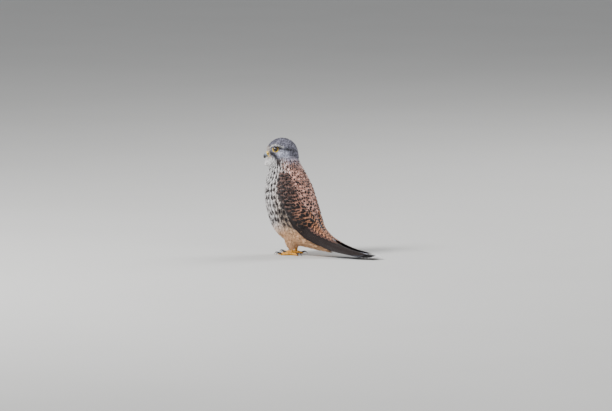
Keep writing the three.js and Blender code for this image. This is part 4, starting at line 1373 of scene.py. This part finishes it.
# Colours that no setting changes, two close tones each
TONES = {
    "eye": ((0.012, 0.007, 0.005), (0.02, 0.011, 0.007)),
    "nostril": ((0.02, 0.012, 0.008), (0.015, 0.01, 0.008)),
    "claw": ((0.01, 0.01, 0.011), (0.02, 0.018, 0.018)),
}


def build_eyes():
    """Dark wet eyes, each a ball, and the yellow ring of bare skin round each."""
    eye_look = bare_material("eye", TONES["eye"], 0.06, coat=0.2)
    ring_look = bare_material("orbital_skin", skin_tones("skin", 0.8), 0.45, bump=0.3)
    rows, sides = 48, 12
    f, l, u = EYE["looks"]
    for name, side in SIDES.items():
        centre = in_head([EYE["f"], side * EYE["l"], EYE["u"]])
        axis = in_head([EYE["f"] + f, side * (EYE["l"] + l), EYE["u"] + u]) - centre
        turn = np.array(Vector((0, 0, 1)).rotation_difference(Vector(axis)).to_matrix()).T
        globe = EYE["radius"] * ball(24, 32, 0.06)
        place(loft_object("eyeball_" + name, [globe @ turn + centre], eye_look), "eye", "eye_" + name)
        points = (eye_ring(turn, rows, sides) @ turn + centre).reshape(-1, 3)
        quads = grid_faces(rows + 1, sides) % len(points)
        quads, triangles = turned_out(points, quads, np.zeros((0, 3), int))
        ring = {"points": points, "quads": quads, "triangles": triangles}
        place(make_object("orbital_ring_" + name, ring, ring_look), "yellow_skin", "eyelids_" + name)


# The bill, forwards and up in the head's frame: its middle lines, a nostril and a corner of the mouth
UPPER_BILL = [(14, 2), (20.5, 2.3), (26, 1.2), (29.8, -0.6), (32, -3.2), (32.3, -5.6)]
LOWER_BILL = [(14, -2.4), (22, -2.8), (28.6, -3.6)]
NOSTRIL = {"f": 24.4, "l": 4.5, "u": 2.4, "radius": 0.95}
MOUTH = [(23.5, -3.2), (20, -3.8), (16.5, -4.6), (13.5, -5.4)]


def head_line(places, count):
    """A curve through places in the head's middle plane, its points closer together towards its end."""
    line = spline([(f, 0, u) for f, u in places], 200)
    run = running_total(steps_between(line))
    k = (1 - (1 - np.linspace(0, 1, count)) ** 1.25) * run[-1]
    return np.column_stack([np.interp(k, run, line[:, c]) for c in range(3)]), k / run[-1]


def ring_tints(tints, sides):
    """A loft's colours from one for each of its rings."""
    return np.vstack([np.repeat(tints, sides, 0), tints[:1], tints[-1:]])


def build_bill():
    """The hooked upper bill and its waxy cere with the nostrils, the lower bill and the mouth's corners:
    ellipses carried along the bill's middle lines."""
    horn = bare_material("bill_horn", None, 0.3, bump=0.08, coat=0.3)
    cere = bare_material("cere_skin", skin_tones("skin", 0.8), 0.42, bump=0.3)
    dark = bare_material("nostril", TONES["nostril"], 0.7)
    across = in_head([0, 1, 0]) - HEAD_CENTRE
    path, t = head_line(UPPER_BILL, 44)
    full = np.sqrt(np.maximum(1 - ((t - 0.12) / 0.93) ** 2, 0.004))
    sides = 28
    rings = tube_rings(in_head(path), BILL["width"] * full, BILL["depth"] * full, sides, across)
    cut = int(np.searchsorted(path[:, 0], BILL["cere_end"]))
    tints = mix(colour("horn"), colour("black") * 1.2, smooth((t[cut:] - t[cut]) / 0.3)[:, None])
    place(loft_object("cere", [rings[:cut + 1]], cere), "yellow_skin", "cere")
    place(loft_object("upper_bill", [rings[cut:]], horn, tint=ring_tints(tints, sides)), "bill", "bill_upper")
    path, t = head_line(LOWER_BILL, 20)
    radius = BILL["low_width"] * np.sqrt(np.maximum(1 - (t * 0.97) ** 3, 0.03))
    rings = tube_rings(in_head(path), radius, radius * BILL["low_flat"], 20, across)
    tints = np.tile(mix(colour("horn"), colour("skin"), 0.3) * 0.8, (len(rings), 1))
    place(loft_object("lower_bill", [rings], horn, tint=ring_tints(tints, 20)), "bill", "bill_lower")
    dot = ball(9, 14, 0.1)[..., [2, 0, 1]] * NOSTRIL["radius"] * [1.2, 1, 1]
    dents = [in_head(dot + [NOSTRIL["f"], side * NOSTRIL["l"], NOSTRIL["u"]]) for side in SIDES.values()]
    place(loft_object("nostrils", dents, dark), "yellow_skin")
    thick = np.full(16, 0.75)
    corners = [tube_rings(spline(face_places(MOUTH, side), 16), thick, thick, 10) for side in SIDES.values()]
    place(loft_object("mouth_corners", corners, cere), "yellow_skin")


def face_places(places, side):
    """Points of the face at places in its side view, found along the way to the left or right."""
    f, u = np.array(places, float).T
    reach = np.linspace(0.5, 1.4, 60)
    way = together(f[:, None], side * 12 * reach[None], u[:, None])
    way = way / np.linalg.norm(way, axis=-1, keepdims=True)
    found = skull(way, 0.0)[0]
    gap = (found[..., 0] - f[:, None]) ** 2 + (found[..., 2] - u[:, None]) ** 2
    return in_head(found[np.arange(len(f)), np.argmin(gap, axis=1)])


# Half widths of the shank from its top to its foot; and a claw: how far its root lies in the toe, where it
# bends as shares of its reach, the heights of all four places, and its half widths from root to tip
SHANK = (2.6, 3.1)
CLAW = {"sunk": 1.5, "bends": (0.3, 0.66, 0.86), "heights": (2.6, 4.6, 3.6, 0.5), "radii": (2.0, 0.2)}


def build_feet():
    """Scaly toes fused to the bare leg, with a black claw on each toe: tubes along splines."""
    scaly = bare_material("toe_skin", skin_tones("toes", 0.7), 0.5, bump=0.6, scale=1500.0)
    black = bare_material("claw_horn", TONES["claw"], 0.28, coat=0.3)
    for name, side in SIDES.items():
        x, y = FOOT[name + "_x"], -side * FOOT["y"]
        shank = spline([(x + 5, y, FOOT["ankle_z"]), (x + 2, y, 18), (x, y, FOOT["toe_radius"] + 1)], 14)
        width = np.linspace(*SHANK, 14)
        lofts = [tube_rings(shank, width, width, 16)]
        lofts += [toe_rings(x, y, side, turn, length) for turn, length, _ in TOES.values()]
        for rings in lofts:
            rings[..., 2] = np.maximum(rings[..., 2], 0.0)
        place(loft_object("toes_" + name, lofts, scaly), "foot_skin", "foot_" + name)
        for toe, (turn, length, reach) in TOES.items():
            out = length + np.array([-CLAW["sunk"], *(reach * bend for bend in CLAW["bends"])])
            line = spline(toe_line(x, y, turn * side, out, CLAW["heights"]), 16)
            radius = mix(*CLAW["radii"], np.linspace(0, 1, 16) ** 0.8)
            place(loft_object(f"talon_{name}_{toe}", [tube_rings(line, radius, radius, 12)], black), "claw",
                  f"claw_{name}_{toe}")


def toe_line(x, y, degrees, out, heights):
    """Points at distances out from the foot's middle, in a direction from straight ahead."""
    heading = math.radians(degrees)
    return np.column_stack([x - math.cos(heading) * out, y - math.sin(heading) * out, heights])


def toe_rings(x, y, side, turn, length):
    """A toe: a knuckled tube with raised plates across its top, lying along the floor."""
    out = length * np.array([0, 0.35, 0.7, 1])
    path = spline(toe_line(x, y, turn * side, out, [FOOT["toe_radius"], 2.7, 1.9, 1.9]), 60)
    k = np.linspace(0, 1, 60)
    radius = mix(FOOT["toe_radius"], 2.1, k) * (1 + 0.1 * np.cos(k * 19) + 0.03 * np.cos(k * length * 4))
    return tube_rings(path, radius, radius, 16)


# The stage, in metres and watts: the floor, the light all round, and the lamps by place, width and power
FLOOR = {"half": 40, "tones": ((0.5, 0.495, 0.48), (0.49, 0.485, 0.47))}
SKY = {"Color": (0.88, 0.9, 0.93, 1), "Strength": 0.55}
LAMPS = {
    "key": ((-1.3, -1.6, 1.9), 0.8, 132),
    "fill": ((2.4, -1.4, 1.2), 2.0, 24),
    "rim": ((0.8, 2.2, 2.2), 1.6, 75),
}
LAMPS_AIM = (0, 0, 0.1)
SENSOR = 36.0
CAMERA_REACH = 200.0


def build_stage():
    """Pale floor, soft lights and the camera at the photo's angle and framing."""
    scene = bpy.context.scene
    half = FLOOR["half"]
    floor = bpy.data.meshes.new("floor")
    floor.from_pydata([(-half, -half, 0), (half, -half, 0), (half, half, 0), (-half, half, 0)], [],
                      [(0, 1, 2, 3)])
    floor.materials.append(bare_material("pale_floor", FLOOR["tones"], 0.9, scale=3.0))
    floor_object = bpy.data.objects.new("floor", floor)
    scene.collection.objects.link(floor_object)
    set_camera(scene)
    for name, (where, width, power) in LAMPS.items():
        light = bpy.data.lights.new(name, "AREA")
        light.size = width
        light.energy = power
        lamp = bpy.data.objects.new(name, light)
        lamp.location = where
        lamp.rotation_euler = (Vector(where) - Vector(LAMPS_AIM)).to_track_quat("Z", "Y").to_euler()
        scene.collection.objects.link(lamp)
    scene.world = bpy.data.worlds.new("studio")
    scene.world.use_nodes = True
    for socket, value in SKY.items():
        scene.world.node_tree.nodes["Background"].inputs[socket].default_value = value


def set_camera(scene):
    """The photo's camera: its angles, and the foot's place in the picture."""
    view = scene.kestrel_view
    a, e = view.azimuth, view.elevation
    across = (view.width / 2 - view.foot_x) * view.pixel
    up = (view.foot_y - view.height / 2) * view.pixel + view.raised * math.cos(e)
    target = Vector((across * math.cos(a), across * math.sin(a), up / math.cos(e))) + Vector(SHIFT) * MM
    back = Vector((math.sin(a) * math.cos(e), -math.cos(a) * math.cos(e), math.sin(e)))
    camera = bpy.data.cameras.new("camera")
    camera.sensor_width = SENSOR
    camera.lens = SENSOR * view.distance / (view.width * view.pixel)
    camera.clip_end = CAMERA_REACH
    camera_object = bpy.data.objects.new("camera", camera)
    camera_object.location = target + back * view.distance
    camera_object.rotation_euler = back.to_track_quat("Z", "Y").to_euler()
    scene.collection.objects.link(camera_object)
    scene.camera = camera_object


# Operators

class KESTREL_OT_stage(bpy.types.Operator):
    """Set the floor, the lamps and the photo's camera"""

    bl_idname = "kestrel.stage"
    bl_label = "Stage"

    def execute(self, context):
        build_stage()
        return {"FINISHED"}


class KESTREL_OT_skin(bpy.types.Operator):
    """Make the skin under the plumage"""

    bl_idname = "kestrel.skin"
    bl_label = "Skin"

    def execute(self, context):
        build_skin()
        return {"FINISHED"}


class KESTREL_OT_body_coat(bpy.types.Operator):
    """Grow the feathers of the neck, breast, belly and back"""

    bl_idname = "kestrel.body_coat"
    bl_label = "Body feathers"

    def execute(self, context):
        build_breast_coat(feather_material("breast_plumage", fringe=0.0, barbs=14.0))
        build_back_coat(feather_material("back_plumage", fringe=0.35, barbs=40.0, shaft=0.35))
        return {"FINISHED"}


class KESTREL_OT_head_coat(bpy.types.Operator):
    """Grow the small feathers of the head"""

    bl_idname = "kestrel.head_coat"
    bl_label = "Head feathers"

    def execute(self, context):
        build_head_coat(feather_material("head_plumage", fringe=0.0, barbs=6.0))
        return {"FINISHED"}


class KESTREL_OT_leg_coat(bpy.types.Operator):
    """Grow the long strands of the legs"""

    bl_idname = "kestrel.leg_coat"
    bl_label = "Leg feathers"

    def execute(self, context):
        build_thigh_coat(feather_material("leg_plumage", fringe=0.0, barbs=12.0))
        return {"FINISHED"}


class KESTREL_OT_wings(bpy.types.Operator):
    """Lay the flight feathers and coverts of both wings"""

    bl_idname = "kestrel.wings"
    bl_label = "Wings"

    def execute(self, context):
        build_flights(feather_material("flight_vanes", roughness=0.5, fringe=3.0, barbs=120.0, shaft=0.3,
                                       edge=0.46, sheen=0.0))
        build_coverts(feather_material("covert_vanes", roughness=0.58, fringe=0.4, barbs=40.0, shaft=0.3))
        return {"FINISHED"}


class KESTREL_OT_tail(bpy.types.Operator):
    """Lay the tail feathers"""

    bl_idname = "kestrel.tail"
    bl_label = "Tail"

    def execute(self, context):
        build_tail(tail_material())
        return {"FINISHED"}


class KESTREL_OT_eyes(bpy.types.Operator):
    """Set the eyes and their rings"""

    bl_idname = "kestrel.eyes"
    bl_label = "Eyes"

    def execute(self, context):
        build_eyes()
        return {"FINISHED"}


class KESTREL_OT_bill(bpy.types.Operator):
    """Make the bill, cere, nostrils and the corners of the mouth"""

    bl_idname = "kestrel.bill"
    bl_label = "Bill"

    def execute(self, context):
        build_bill()
        return {"FINISHED"}


class KESTREL_OT_feet(bpy.types.Operator):
    """Make the toes and claws"""

    bl_idname = "kestrel.feet"
    bl_label = "Feet"

    def execute(self, context):
        build_feet()
        return {"FINISHED"}


OPERATORS = (
    KESTREL_OT_stage, KESTREL_OT_skin, KESTREL_OT_body_coat, KESTREL_OT_head_coat, KESTREL_OT_leg_coat,
    KESTREL_OT_wings, KESTREL_OT_tail, KESTREL_OT_eyes, KESTREL_OT_bill, KESTREL_OT_feet,
)
GROUPS = {"kestrel_colours": KestrelColours, "kestrel_sizes": KestrelSizes, "kestrel_view": KestrelView}


class VIEW3D_PT_kestrel(bpy.types.Panel):
    """The kestrel's settings and pieces"""

    bl_idname = "VIEW3D_PT_kestrel"
    bl_label = "Common kestrel"
    bl_space_type = "VIEW_3D"
    bl_region_type = "UI"
    bl_category = "Kestrel"

    def draw(self, context):
        for group in GROUPS:
            settings = getattr(context.scene, group)
            for name in settings.__annotations__:
                self.layout.prop(settings, name)
        for operator in OPERATORS:
            self.layout.operator(operator.bl_idname)


def register():
    for made in (*GROUPS.values(), *OPERATORS, VIEW3D_PT_kestrel):
        bpy.utils.register_class(made)
    for name, group in GROUPS.items():
        setattr(bpy.types.Scene, name, PointerProperty(type=group))


def unregister():
    for name in GROUPS:
        delattr(bpy.types.Scene, name)
    for made in reversed((*GROUPS.values(), *OPERATORS, VIEW3D_PT_kestrel)):
        bpy.utils.unregister_class(made)


def main():
    register()
    bpy.ops.kestrel.stage()
    bpy.ops.kestrel.skin()
    bpy.ops.kestrel.body_coat()
    bpy.ops.kestrel.head_coat()
    bpy.ops.kestrel.leg_coat()
    bpy.ops.kestrel.wings()
    bpy.ops.kestrel.tail()
    bpy.ops.kestrel.eyes()
    bpy.ops.kestrel.bill()
    bpy.ops.kestrel.feet()


if __name__ == "__main__":
    main()
